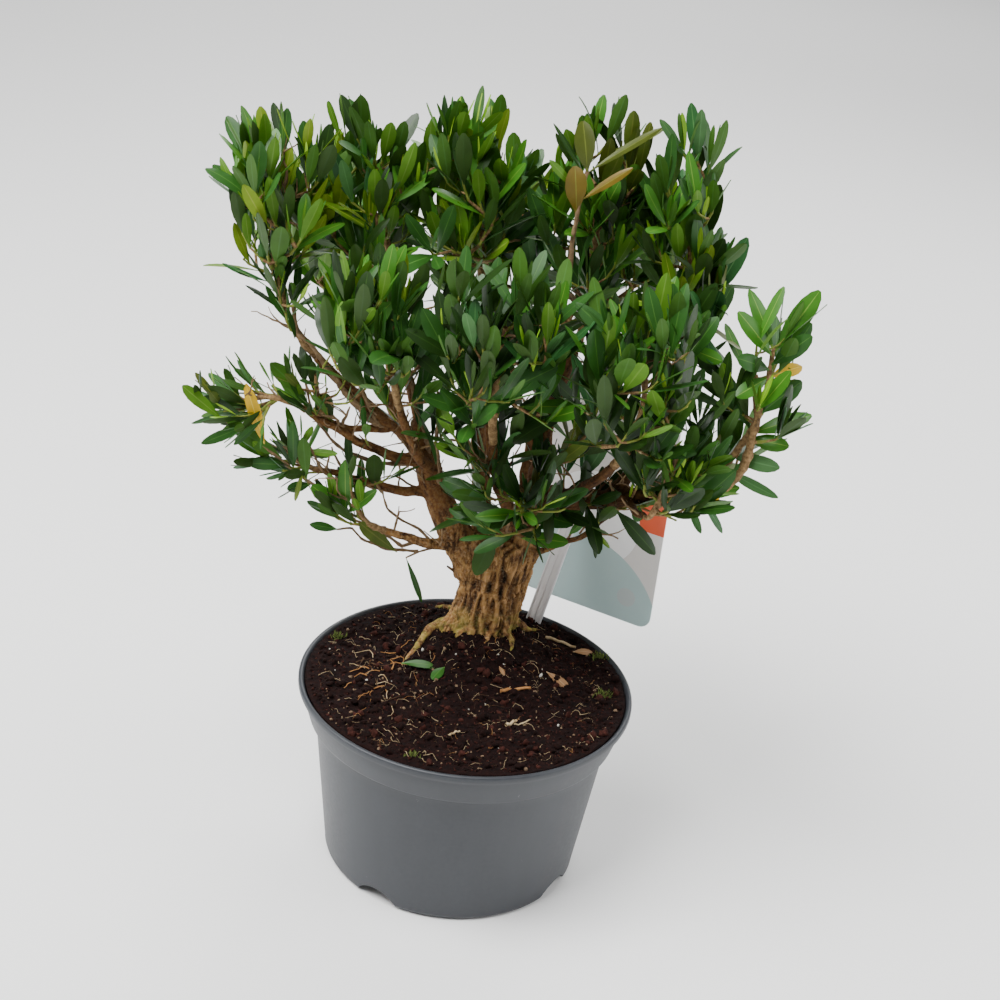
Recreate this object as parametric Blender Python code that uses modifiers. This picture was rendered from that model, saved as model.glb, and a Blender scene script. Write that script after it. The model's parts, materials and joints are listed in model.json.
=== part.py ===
"""Boxwood bonsai in a plastic nursery pot, at real size: metres, +Z up, underside of the pot on Z = 0.

The trunk rises from flat peat near the back of the pot and forks low down. Tapering boughs leave the
fork and each other, and each one carries a mass of foliage that keeps to its own space.
"""

import math
import random
from collections import namedtuple

import bmesh
import bpy
import numpy as np
from mathutils import Matrix, Vector
from mathutils.bvhtree import BVHTree

MM = 0.001
GAP = 0.3 * MM
SEED = 17

# Pot: a round tapered pot with a collar below its lip and arches cut in its foot.
POT_HEIGHT = 100 * MM
LIP_RADIUS = 85 * MM
LIP_DEPTH = 3.5 * MM
LIP_WIDTH = 3 * MM
COLLAR_DEPTH = 19 * MM
COLLAR_TOP_RADIUS = 82.6 * MM
COLLAR_FOOT_RADIUS = 79.2 * MM
COLLAR_STEP = 1 * MM
BODY_TOP_RADIUS = 75.2 * MM
BODY_FOOT_RADIUS = 66 * MM
FOOT_ROUND = 3.5 * MM
INNER_FOOT_ROUND = 4.5 * MM
POT_WALL = 2.4 * MM
POT_FLOOR = 3 * MM
POT_STEPS = 32
ARCH_ANGLES = (60, 150, 240, 330)
ARCH_WIDTH = 25 * MM
ARCH_HEIGHT = 8 * MM
ARCH_CUT = 30 * MM

# Soil: its top is flat under the trunk, a little below the lip.
SOIL_TOP = 96.7 * MM
SOIL_EDGE_DROP = 1.6 * MM
SOIL_EDGE_WIDTH = 3 * MM

# Trunk, in millimetres: a leaning, ridged stem with roots that flare out at the soil. Each flare
# has its bearing, spread and sharpness; the dome over the fork has ring widths and heights.
TRUNK_FOOT = (3, 52, 97)
TRUNK_BEND = (8, 51, 128)
TRUNK_FORK = (9.5, 48, 157)
TRUNK_FOOT_RADIUS = 17.5
TRUNK_WAIST_RADIUS = 17
TRUNK_FORK_RADIUS = 20.5
TRUNK_RIDGES = 7
TRUNK_RIDGE_DEPTH = 0.045
TRUNK_SIDES = 22
TRUNK_RINGS = 8
TRUNK_TWIST = 2.4
TRUNK_DEPTH_SHARE = 0.9
TRUNK_DOME = ((1.0, 1.0), (0.90, 1.07), (0.55, 1.12))
ROOT_FLARES = ((212, 17, 5.0), (292, 8, 8.0), (20, 6, 4.0), (120, 7, 4.0))
FLARE_HEIGHT = 9.0

# Limbs and boughs, in millimetres, each after the limb it leaves: start, tip, how far the middle
# bows, and radius at each end.
Bough = namedtuple("Bough", "start tip bow base_radius tip_radius")
BOUGHS = {
    "limb_left": Bough((-4, 48, 143), (-38, 36, 214), (-3, 0, -6), 9.4, 5.4),
    "limb_right": Bough((15, 47, 146), (24, 42, 190), (1, 0, 2), 9.6, 7.0),
    "limb_middle": Bough((1, 56, 149), (-12, 70, 254), (-5, 4, 4), 5.6, 2.8),
    "bough_upper_left": Bough((-36, 37, 211), (-90, 30, 254), (5, 0, -9), 4.3, 2.4),
    "bough_top_left": Bough((-37, 37, 208), (-50, 50, 262), (3, 0, -3), 3.6, 2.2),
    "bough_far_left": Bough((-32, 37, 201), (-92, 17, 231), (0, 0, -9), 3.2, 1.6),
    "bough_low_left": Bough((-22, 41, 181), (-84, 21, 198), (0, 2, -2), 3.0, 1.6),
    "bough_under_left": Bough((-6, 45, 151), (-50, 25, 167), (0, 3, -1), 3.6, 1.9),
    "bough_mid_left": Bough((-55, 34, 219), (-79, 24, 223), (0, -2, -3), 2.1, 1.5),
    "bough_front_left": Bough((-29, 37, 198), (-46, 10, 240), (-2, -7, -5), 3.3, 2.0),
    "bough_right": Bough((24, 41, 188), (105, 4, 219), (-2, 2, -5), 6.2, 3.2),
    "bough_top_right": Bough((23, 43, 187), (35, 58, 262), (-4, 2, 0), 4.6, 2.5),
    "bough_front_right": Bough((23, 41, 184), (58, -4, 230), (2, -5, -6), 3.9, 2.2),
    "bough_far_right": Bough((60, 24, 200), (86, 42, 262), (7, 2, -6), 3.5, 2.2),
    "bough_low_right": Bough((70, 20, 203), (76, -10, 208), (0, -1, -3), 2.2, 1.5),
    "bough_under_right": Bough((18, 44, 150), (61, 25, 189), (3, 0, -4), 2.4, 1.4),
    "bough_centre_front": Bough((20, 45, 168), (0, 2, 232), (-6, -12, -6), 3.8, 2.2),
    "bough_low_front": Bough((18, 46, 163), (24, 14, 192), (2, -6, -3), 2.6, 1.5),
    "bough_back_left": Bough((-27, 39, 192), (-72, 86, 238), (0, 4, -8), 3.8, 2.2),
    "bough_back_centre": Bough((-3, 61, 178), (-8, 104, 246), (2, 8, -8), 3.2, 2.1),
    "bough_back_right": Bough((20, 45, 172), (27, 107, 248), (-8, 10, -2), 3.8, 2.2),
}
BOUGH_RINGS = 5

# Foliage masses, in millimetres: bough, centre and reach of the space, number of leading shoots,
# and the tips that the furthest shoots grow out to.
Mass = namedtuple("Mass", "bough centre reach shoots tips")
MASSES = {
    "foliage_upper_left": Mass("bough_upper_left", (-114, 35, 328), (34, 36, 50), 4,
                               ((-149, 35, 347), (-125, 40, 368), (-101, 42, 364), (-139, 30, 312))),
    "foliage_top_left": Mass("bough_top_left", (-71, 56, 328), (31, 34, 52), 5,
                             ((-85, 60, 378), (-65, 64, 362))),
    "foliage_top_centre": Mass("limb_middle", (-25, 58, 334), (36, 36, 56), 4,
                               ((-24, 50, 393), (-46, 50, 376), (-2, 60, 362))),
    "foliage_top_right": Mass("bough_top_right", (34, 60, 332), (36, 36, 58), 4,
                              ((27, 60, 384), (44, 60, 391), (56, 62, 376))),
    "foliage_far_right": Mass("bough_far_right", (77, 48, 330), (30, 34, 58), 4,
                              ((71, 50, 393), (88, 50, 384))),
    "foliage_right": Mass("bough_right", (118, 6, 267), (31, 34, 52), 4,
                          ((112, 2, 321), (137, 6, 322), (144, 8, 286))),
    "foliage_low_right": Mass("bough_low_right", (86, -14, 230), (34, 32, 34), 5,
                              ((116, 0, 206),)),
    "foliage_under_right": Mass("bough_under_right", (82, 18, 188), (22, 22, 20), 3, ()),
    "foliage_front_right": Mass("bough_front_right", (62, -30, 286), (36, 34, 48), 6, ()),
    "foliage_centre_front": Mass("bough_centre_front", (0, -26, 288), (40, 34, 50), 7, ()),
    "foliage_low_front": Mass("bough_low_front", (14, -2, 200), (36, 30, 32), 5,
                              ((6, 6, 164),)),
    "foliage_front_left": Mass("bough_front_left", (-60, -8, 284), (34, 34, 46), 6, ()),
    "foliage_mid_left": Mass("bough_mid_left", (-88, 18, 243), (25, 26, 26), 4, ()),
    "foliage_far_left": Mass("bough_far_left", (-122, 14, 228), (32, 28, 23), 4,
                             ((-156, 14, 234),)),
    "foliage_low_left": Mass("bough_low_left", (-102, 16, 204), (30, 26, 22), 4,
                             ((-130, 12, 202),)),
    "foliage_under_left": Mass("bough_under_left", (-68, 16, 182), (26, 24, 26), 4, ()),
    "foliage_back_left": Mass("bough_back_left", (-84, 104, 286), (38, 34, 54), 4, ()),
    "foliage_back_centre": Mass("bough_back_centre", (-12, 116, 296), (40, 34, 56), 4, ()),
    "foliage_back_right": Mass("bough_back_right", (60, 110, 292), (38, 34, 50), 4, ()),
}

# Foliage: leaves larger than life, in opposite pairs that turn a quarter from pair to pair.
LEAF_LENGTH = 34.0
LEAF_WIDTH = 17.5
LEAF_THICKNESS = 1.1
LEAF_ROOT_THICKNESS = 0.7
LEAF_WIDEST = 0.62
LEAF_SINK = 0.2
LEAF_PULL = 0.78
LEAF_TRIES = 20
LEAF_ROOT_SAMPLES = 12
FULL_LEAF_REACH = 38.0
LEAF_SPACING = 9.5
LEAF_ANGLES = (28, 40, 50, 56)
LEAF_PAIRS = 4
TWIG_RADIUS = 1.7
TWIG_TIP_RADIUS = 1.5
TWIG_SIDES = 3
STEM_SIDES = 4
STEM_RINGS = 4
STEM_RISE = 0.25
STEM_BEND = 0.45
SPACE_POWER = 2.8
CELL_MARGIN = 0.4
LIMB_MARGIN = 0.8
TWIG_MARGIN = 0.3
SHORTEST_SHOOT = 5.0
SHOOT_SAG = 0.1
SPIRAL_TOP = 0.96
SPIRAL_FOOT = -0.72
GOLDEN_ANGLE = math.pi * (3 - math.sqrt(5))

# Label: a blank card held by a clear lance pushed into the peat behind the trunk.
LANCE_FOOT = (28.4, 65.3, 84.5)
LANCE_TOP = (48.7, 85.5, 171.5)
LANCE_WIDTH = 9 * MM
LANCE_THICKNESS = 1.2 * MM
CARD_CENTRE = (58.8, 81.9, 169)
CARD_TURN = -27
CARD_WIDTH = 80 * MM
CARD_HEIGHT = 127 * MM
CARD_CORNER = 7 * MM
CARD_THICKNESS = 0.8 * MM

# Colours and surfaces: sRGB red, green, blue, roughness and metallic.
FINISHES = {
    "pot": ((0.39, 0.41, 0.43), 0.42, 0.0),
    "soil": ((0.13, 0.10, 0.09), 0.95, 0.0),
    "bark": ((0.42, 0.32, 0.21), 0.85, 0.0),
    "foliage": ((0.13, 0.27, 0.09), 0.38, 0.0),
    "lance": ((0.82, 0.83, 0.86), 0.25, 0.0),
    "card": ((0.56, 0.65, 0.64), 0.40, 0.0),
}


def clear_scene():
    """Remove the objects of the open file."""
    for thing in list(bpy.data.objects):
        bpy.data.objects.remove(thing, do_unlink=True)


def new_collection(name):
    """Make a collection linked to the scene."""
    collection = bpy.data.collections.new(name)
    bpy.context.scene.collection.children.link(collection)
    return collection


def finish(obj, kind):
    """Give an object its own Principled material."""
    colour, roughness, metallic = FINISHES[kind]
    material = bpy.data.materials.new(obj.name + "_" + kind)
    material.use_nodes = True
    shader = material.node_tree.nodes["Principled BSDF"]
    linear = [((c + 0.055) / 1.055) ** 2.4 for c in colour]
    shader.inputs["Base Color"].default_value = (*linear, 1.0)
    shader.inputs["Roughness"].default_value = roughness
    shader.inputs["Metallic"].default_value = metallic
    obj.data.materials.clear()
    obj.data.materials.append(material)


def mesh_object(name, shape, collection):
    """Turn a bmesh into an object in a collection."""
    mesh = bpy.data.meshes.new(name)
    shape.to_mesh(mesh)
    shape.free()
    obj = bpy.data.objects.new(name, mesh)
    collection.objects.link(obj)
    return obj


def as_guide(obj):
    """Mark an object as a cutter that doesn't belong to the plant."""
    obj.hide_render = True
    obj.display_type = "WIRE"
    return obj


def quadratic(start, bend, end, count):
    """Points along a quadratic curve, as rows of an array."""
    t = np.linspace(0.0, 1.0, count)[:, None]
    start, bend, end = (np.array(p, float) for p in (start, bend, end))
    return (1 - t) ** 2 * start + 2 * t * (1 - t) * bend + t ** 2 * end


def unit(vector):
    """The vector at length one."""
    return vector / np.linalg.norm(vector)


def turned(name, outline, steps, collection):
    """Turn an outline of (radius, height) about the Z axis; it runs down its outer side."""
    shape = bmesh.new()
    corners = [shape.verts.new((radius, 0.0, height)) for radius, height in outline]
    for upper, lower in zip(corners, corners[1:]):
        shape.edges.new((upper, lower))
    obj = mesh_object(name, shape, collection)
    screw = obj.modifiers.new("turn", "SCREW")
    screw.steps = steps
    screw.render_steps = steps
    screw.use_merge_vertices = True
    screw.merge_threshold = 0.00001
    return obj


def cut(obj, cutter):
    """Cut one object with another by an exact Boolean."""
    boolean = obj.modifiers.new("cut", "BOOLEAN")
    boolean.operation = "DIFFERENCE"
    boolean.object = cutter
    boolean.solver = "EXACT"


def inner_wall(drop=0.0):
    """Radius and height down the pot's inside wall, moved in and up by drop."""
    collar_foot = POT_HEIGHT - COLLAR_DEPTH
    return [
        (LIP_RADIUS - LIP_WIDTH - drop, POT_HEIGHT),
        (COLLAR_FOOT_RADIUS - POT_WALL - drop, collar_foot + POT_WALL),
        (BODY_TOP_RADIUS - POT_WALL - drop, collar_foot - POT_WALL),
        (BODY_FOOT_RADIUS - POT_WALL - drop, POT_FLOOR + INNER_FOOT_ROUND),
        (BODY_FOOT_RADIUS - POT_WALL - INNER_FOOT_ROUND - drop, POT_FLOOR + drop),
    ]


def build_pot(parts, cutters):
    """The pot: one turned wall and floor, with four arches cut through its foot."""
    collar_foot = POT_HEIGHT - COLLAR_DEPTH
    foot = [
        (BODY_FOOT_RADIUS - FOOT_ROUND * (1 - math.cos(a)), FOOT_ROUND * (1 - math.sin(a)))
        for a in np.linspace(0.0, math.pi / 2, 3)
    ]
    outer = [
        (LIP_RADIUS, POT_HEIGHT),
        (LIP_RADIUS, POT_HEIGHT - LIP_DEPTH),
        (COLLAR_TOP_RADIUS, POT_HEIGHT - LIP_DEPTH - COLLAR_STEP),
        (COLLAR_FOOT_RADIUS, collar_foot),
        (BODY_TOP_RADIUS, collar_foot - COLLAR_STEP),
    ]
    outline = [(0.0, POT_FLOOR)] + inner_wall()[::-1] + outer + foot + [(0.0, 0.0)]
    pot = turned("pot", outline, POT_STEPS, parts)
    radius = (ARCH_WIDTH ** 2 / 4 + ARCH_HEIGHT ** 2) / (2 * ARCH_HEIGHT)
    for number, angle in enumerate(ARCH_ANGLES):
        shape = bmesh.new()
        bmesh.ops.create_cone(shape, cap_ends=True, segments=20, radius1=radius, radius2=radius,
                              depth=ARCH_CUT)
        cutter = as_guide(mesh_object("arch_%d" % number, shape, cutters))
        around = Matrix.Rotation(math.radians(angle), 4, "Z")
        place = Matrix.Translation((BODY_FOOT_RADIUS, 0.0, ARCH_HEIGHT - radius))
        cutter.matrix_world = around @ place @ Matrix.Rotation(math.pi / 2, 4, "Y")
        cut(pot, cutter)
    finish(pot, "pot")
    return pot


def build_soil(parts, slot):
    """The peat that fills the pot, a gap clear of it, with a slot for the label's lance."""
    wall = inner_wall(GAP)
    edge_height = SOIL_TOP - SOIL_EDGE_DROP
    (lip_radius, lip_height), (step_radius, step_height) = wall[:2]
    share = (edge_height - step_height) / (lip_height - step_height)
    edge_radius = step_radius + (lip_radius - step_radius) * share
    outline = [(0.0, SOIL_TOP), (edge_radius - SOIL_EDGE_WIDTH, SOIL_TOP), (edge_radius, edge_height)]
    outline = outline + wall[1:] + [(0.0, POT_FLOOR + GAP)]
    soil = turned("soil", outline, POT_STEPS, parts)
    cut(soil, slot)
    finish(soil, "soil")
    return soil


def trunk_centre(share):
    """Centre of the trunk at a share of its height, in millimetres."""
    return quadratic(TRUNK_FOOT, TRUNK_BEND, TRUNK_FORK, 101)[round(share * 100)]


def trunk_radius(share):
    """Mean radius of the trunk at a share of its height, in millimetres."""
    waist = TRUNK_WAIST_RADIUS
    if share < 0.5:
        return waist + (TRUNK_FOOT_RADIUS - waist) * (1 - 2 * share) ** 2
    return waist + (TRUNK_FORK_RADIUS - waist) * (2 * share - 1) ** 1.5


def trunk_shape(grow=0.0):
    """The trunk as rings of ridged section, closed by a low dome at the fork."""
    shape = bmesh.new()
    rings = []
    heights = [(1.0, k / TRUNK_RINGS) for k in range(TRUNK_RINGS)] + list(TRUNK_DOME)
    rise = TRUNK_FORK[2] - TRUNK_FOOT[2]
    for narrowing, share in heights:
        centre = trunk_centre(min(share, 1.0))
        height = TRUNK_FOOT[2] + rise * share
        above = height - TRUNK_FOOT[2]
        if share == 0:
            height -= grow
        ring = []
        for side in range(TRUNK_SIDES):
            angle = 2 * math.pi * side / TRUNK_SIDES
            ridge = 1 + TRUNK_RIDGE_DEPTH * math.cos(TRUNK_RIDGES * angle + TRUNK_TWIST * share)
            radius = narrowing * trunk_radius(min(share, 1.0)) * ridge
            for bearing, spread, sharpness in ROOT_FLARES:
                turn = math.cos(angle - math.radians(bearing)) - 1
                radius += spread * math.exp(sharpness * turn * 2 - above / FLARE_HEIGHT)
            radius += grow
            ring.append(shape.verts.new(Vector((
                centre[0] + radius * math.cos(angle),
                centre[1] + radius * math.sin(angle) * TRUNK_DEPTH_SHARE,
                height + (grow if share > 1 else 0.0),
            )) * MM))
        rings.append(ring)
    for lower, upper in zip(rings, rings[1:]):
        for side in range(TRUNK_SIDES):
            after = (side + 1) % TRUNK_SIDES
            shape.faces.new((lower[side], lower[after], upper[after], upper[side]))
    shape.faces.new(rings[0][::-1])
    shape.faces.new(rings[-1])
    return shape


def bough_line(name, grow=0.0):
    """Centre points and radii down a bough; grow widens it and lengthens its tip."""
    bough = BOUGHS[name]
    start = np.array(bough.start, float)
    tip = np.array(bough.tip, float)
    points = quadratic(start, (start + tip) / 2 + np.array(bough.bow), tip, BOUGH_RINGS)
    points[-1] += unit(points[-1] - points[-2]) * grow
    radii = np.linspace(bough.base_radius, bough.tip_radius, BOUGH_RINGS) + grow
    return points, radii


def tube(name, points, radii, collection):
    """A round tapering limb along points, made as a bevelled curve and then a closed mesh."""
    curve = bpy.data.curves.new(name, "CURVE")
    curve.dimensions = "3D"
    curve.bevel_depth = MM
    curve.bevel_resolution = 1
    curve.use_fill_caps = True
    line = curve.splines.new("POLY")
    line.points.add(len(points) - 1)
    for knot, point, radius in zip(line.points, points, radii):
        knot.co = (*(point * MM), 1.0)
        knot.radius = radius
    guide = bpy.data.objects.new(name + "_line", curve)
    collection.objects.link(guide)
    shape = bmesh.new()
    shape.from_mesh(evaluated_mesh(guide))
    bmesh.ops.remove_doubles(shape, verts=shape.verts, dist=0.000001)
    bmesh.ops.recalc_face_normals(shape, faces=shape.faces)
    bpy.data.objects.remove(guide, do_unlink=True)
    return mesh_object(name, shape, collection)


def evaluated_mesh(obj):
    """The mesh of an object with its modifiers applied."""
    bpy.context.view_layer.update()
    graph = bpy.context.evaluated_depsgraph_get()
    return bpy.data.meshes.new_from_object(obj.evaluated_get(graph))


def bodies_of(shape):
    """The bodies of a bmesh, each a list of faces that meet along edges, largest first."""
    seen = set()
    bodies = []
    for first in shape.faces:
        if first in seen:
            continue
        seen.add(first)
        body = [first]
        for face in body:
            for other in (near for edge in face.edges for near in edge.link_faces):
                if other not in seen:
                    seen.add(other)
                    body.append(other)
        bodies.append(body)
    return sorted(bodies, key=len, reverse=True)


def apply_boolean(obj, operation, others):
    """Join a collection to an object, or cut it away, and keep the largest closed body."""
    boolean = obj.modifiers.new("fuse", "BOOLEAN")
    boolean.operation = operation
    boolean.operand_type = "COLLECTION"
    boolean.collection = others
    boolean.solver = "EXACT"
    joined = evaluated_mesh(obj)
    obj.modifiers.clear()
    shape = bmesh.new()
    shape.from_mesh(joined)
    bmesh.ops.remove_doubles(shape, verts=shape.verts, dist=0.000002)
    for scrap in bodies_of(shape)[1:]:
        bmesh.ops.delete(shape, geom=scrap, context="FACES")
    shape.to_mesh(obj.data)
    shape.free()


def empty_collection(collection):
    """Remove a collection's objects."""
    for thing in list(collection.objects):
        bpy.data.objects.remove(thing, do_unlink=True)


def build_trunk_and_boughs(parts, clearances):
    """The trunk and each bough, every bough cut a gap clear of the limbs made before it."""
    trunk = mesh_object("trunk", trunk_shape(), parts)
    finish(trunk, "bark")
    as_guide(mesh_object("trunk_clearance", trunk_shape(GAP / MM), clearances))
    for name in BOUGHS:
        bough = tube(name, *bough_line(name), parts)
        apply_boolean(bough, "DIFFERENCE", clearances)
        finish(bough, "bark")
        as_guide(tube(name + "_clearance", *bough_line(name, GAP / MM), clearances))
    empty_collection(clearances)


def limb_rods():
    """Every limb as straight rods: start, end, radius, all in millimetres."""
    rods = []
    steps = np.linspace(0.0, 1.12, 9)
    for low, high in zip(steps, steps[1:]):
        start = trunk_centre(min(low, 1.0))
        end = trunk_centre(min(high, 1.0))
        rods.append((start, end, trunk_radius(min(high, 1.0)) + 3))
    for name in BOUGHS:
        points, radii = bough_line(name)
        for k in range(len(points) - 1):
            rods.append((points[k], points[k + 1], radii[k]))
    for name in MASSES:
        points, radii = stem_line(name)
        for k in range(len(points) - 1):
            rods.append((points[k], points[k + 1], radii[k]))
    return rods


def stem_line(name):
    """The stem inside a mass: from just past its bough's tip towards the top of its space."""
    mass = MASSES[name]
    points, radii = bough_line(mass.bough)
    heading = unit(points[-1] - points[-2])
    start = points[-1] + heading * GAP / MM
    top = np.array(mass.centre) + np.array((0, 0, STEM_RISE * mass.reach[2]))
    run = np.linalg.norm(top - start)
    bend = start + heading * run * STEM_BEND
    radius = radii[-1]
    return quadratic(start, bend, top, STEM_RINGS), np.linspace(radius, TWIG_RADIUS, STEM_RINGS)


def clear_of_rods(points, rods, margin=None):
    """True where no point comes within the margin of a rod's surface."""
    margin = LIMB_MARGIN if margin is None else margin
    for start, end, radius in rods:
        along = end - start
        share = np.clip((points - start) @ along / (along @ along), 0, 1)
        near = start + share[:, None] * along
        if np.linalg.norm(points - near, axis=1).min() < radius + margin:
            return False
    return True


def inside_space(name, points, furthest=False):
    """True where points are in the mass's space and its cell; a furthest leaf only in its cell."""
    mass = MASSES[name]
    centre = np.array(mass.centre, float)
    reach = np.array(mass.reach, float)
    beyond = (np.abs((points - centre) / reach) ** SPACE_POWER).sum(axis=1).max() > 1.0
    if beyond and not furthest:
        return False
    for other_name, other in MASSES.items():
        if other_name == name:
            continue
        away = np.array(other.centre, float) - centre
        distance = np.linalg.norm(away)
        weight = reach.mean() ** 2 - np.array(other.reach, float).mean() ** 2
        border = (distance ** 2 + weight) / (2 * distance)
        if ((points - centre) @ (away / distance)).max() > border - CELL_MARGIN:
            return False
    return True


def twig_mesh(name, points, radii, sides, collection, first_heading=None):
    """A bent tapering twig of a few sides, lofted through points given in millimetres."""
    shape = bmesh.new()
    first = points[1] - points[0] if first_heading is None else first_heading
    between = [after - before for before, after in zip(points, points[2:])]
    headings = [first] + between + [points[-1] - points[-2]]
    side = unit(np.cross(headings[0], (0.21, 0.34, 0.92)))
    rings = []
    for point, heading, radius in zip(points, headings, radii):
        heading = unit(heading)
        side = unit(side - heading * (side @ heading))
        other = np.cross(heading, side)
        turns = [2 * math.pi * k / sides for k in range(sides)]
        rings.append([
            shape.verts.new(Vector(point + radius * (math.cos(a) * side + math.sin(a) * other)) * MM)
            for a in turns
        ])
    for lower, upper in zip(rings, rings[1:]):
        for k in range(sides):
            after = (k + 1) % sides
            shape.faces.new((lower[k], lower[after], upper[after], upper[k]))
    shape.faces.new(rings[0][::-1])
    shape.faces.new(rings[-1])
    return mesh_object(name, shape, collection)


def leaf_shape():
    """One leaf of eight faces: root edge, two sides, a ridge on top and a blunt tip, along +Z."""
    shape = bmesh.new()
    bmesh.ops.create_uvsphere(shape, u_segments=4, v_segments=2, radius=1.0)
    side = LEAF_WIDTH / 2
    widest = LEAF_LENGTH * LEAF_WIDEST
    for vert in shape.verts:
        x, y, z = vert.co
        if z > 0.5:
            spot = (0.0, -0.4 * LEAF_THICKNESS, LEAF_LENGTH)
        elif z < -0.5:
            spot = (0.0, 0.5 * LEAF_ROOT_THICKNESS, -LEAF_SINK)
        elif abs(x) > 0.5:
            spot = (math.copysign(side, x), -0.2 * LEAF_THICKNESS, widest)
        elif y > 0:
            spot = (0.0, 0.6 * LEAF_THICKNESS, widest)
        else:
            spot = (0.0, -0.5 * LEAF_ROOT_THICKNESS, -LEAF_SINK)
        vert.co = Vector(spot) * MM
    return shape


def leaf_frame(root, heading, upward, scale):
    """Placement of a leaf from its root, its heading and the side that its face looks to."""
    along = unit(heading)
    across = unit(np.cross(upward, along))
    face = np.cross(along, across)
    frame = Matrix.Identity(4)
    for column, axis in enumerate((across, face, along)):
        for row in range(3):
            frame[row][column] = axis[row] * scale
    for row in range(3):
        frame[row][3] = root[row] * MM
    return frame


def shoot_line(name, base, target, rods, furthest):
    """A shoot's twig from the stem towards a target; None where it would leave its space."""
    whole = target - base
    pull = leaf_scale(name) * LEAF_LENGTH * (1.0 if furthest else LEAF_PULL)
    for trim in (1.0,) if furthest else (1.0, 0.88, 0.76, 0.64):
        run = np.linalg.norm(whole) * trim - pull
        if run < SHORTEST_SHOOT:
            continue
        tip = base + unit(whole) * run
        bend = (base + tip) / 2 + np.array((0.0, 0.0, -SHOOT_SAG * run))
        body = quadratic(base, bend, tip, 12)[4:]
        if inside_space(name, body, furthest) and clear_of_rods(body, rods):
            return quadratic(base, bend, tip, 3)
    return None


def leaf_scale(name):
    """Leaves are smaller in a small mass."""
    return min(max(np.mean(MASSES[name].reach) / FULL_LEAF_REACH, 0.72), 1.0)


def leaf_frames(line, pair, half, first_turn, scale, dice):
    """Placements to try for one leaf: pairs face each other and turn a quarter along the shoot."""
    heading = unit(line[-1] - line[-2])
    side = unit(np.cross(heading, (0.3, 0.2, 1.0)))
    other = np.cross(heading, side)
    if pair < 0:
        root = line[-1] - heading * 1.0
        yield leaf_frame(root, heading + 0.04 * side, other, scale)
        return
    root = line[-1] - heading * (pair * LEAF_SPACING * scale + 2.0 + 0.5 * half)
    slope = LEAF_ANGLES[pair]
    for attempt in range(LEAF_TRIES):
        sway = 0.2 + 0.12 * attempt
        turn = first_turn + (pair / 2 + half) * math.pi + dice.uniform(-sway, sway)
        angle = math.radians(slope + dice.uniform(-7, 7) * (1 + 0.3 * attempt))
        outward = math.cos(turn) * side + math.sin(turn) * other
        along = math.cos(angle) * heading + math.sin(angle) * outward
        face = math.sin(angle) * heading - math.cos(angle) * outward
        yield leaf_frame(root, along, face, scale * dice.uniform(0.9, 1.05))


def leaf_samples(frame):
    """Points over a placed leaf, in millimetres."""
    side = LEAF_WIDTH / 2
    widest = LEAF_LENGTH * LEAF_WIDEST
    grid = []
    for share in np.linspace(0.0, 1.0, 8):
        reach = share * LEAF_LENGTH
        half = side * min(reach / widest, (LEAF_LENGTH - reach) / (LEAF_LENGTH - widest))
        for across in (-half, 0.0, half):
            for deep in (-0.5, 0.6):
                grid.append(frame @ (Vector((across, deep * LEAF_THICKNESS, reach)) * MM) / MM)
    return np.array(grid)


def leaf_blade(frame):
    """The flat blade of a placed leaf beyond its root, as a tree that finds crossings."""
    spots = ((0.0, 0.16), (-0.5, LEAF_WIDEST), (0.5, LEAF_WIDEST), (0.0, 1.0))
    corners = [frame @ (Vector((x * LEAF_WIDTH, 0.0, z * LEAF_LENGTH)) * MM) for x, z in spots]
    return BVHTree.FromPolygons(corners, ((0, 1, 3), (0, 3, 2)))


def shoot_targets(name):
    """Where the shoots of a mass reach: its furthest tips, then an even spiral over its space."""
    mass = MASSES[name]
    centre = np.array(mass.centre, float)
    reach = np.array(mass.reach, float)
    targets = [np.array(tip, float) for tip in mass.tips]
    for k in range(mass.shoots):
        level = SPIRAL_TOP - (SPIRAL_TOP - SPIRAL_FOOT) * (k + 0.5) / mass.shoots
        ring = math.sqrt(1 - level ** 2)
        turn = k * GOLDEN_ANGLE
        direction = np.array((ring * math.cos(turn), ring * math.sin(turn), level))
        size = (np.abs(direction) ** SPACE_POWER).sum() ** (1 / SPACE_POWER)
        targets.append(centre + reach * direction / size * 0.97)
    return targets


def shoot_lines(name, stem, rods):
    """The twigs of a mass, each leaving the stem at a height that suits its target."""
    centre = np.array(MASSES[name].centre, float)
    reach = np.array(MASSES[name].reach, float)
    last = len(stem) - 1
    lines = []
    for number, target in enumerate(shoot_targets(name)):
        level = (target[2] - centre[2]) / reach[2]
        spot = min(max(0.52 + 0.36 * level + 0.05 * (number % 3), 0.25), 0.98) * last
        k = int(spot)
        base = stem[k] + (stem[k + 1] - stem[k]) * (spot - k)
        furthest = len(lines) < len(MASSES[name].tips)
        line = shoot_line(name, base, target, rods, furthest)
        lines.append(line)
    return lines


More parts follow.
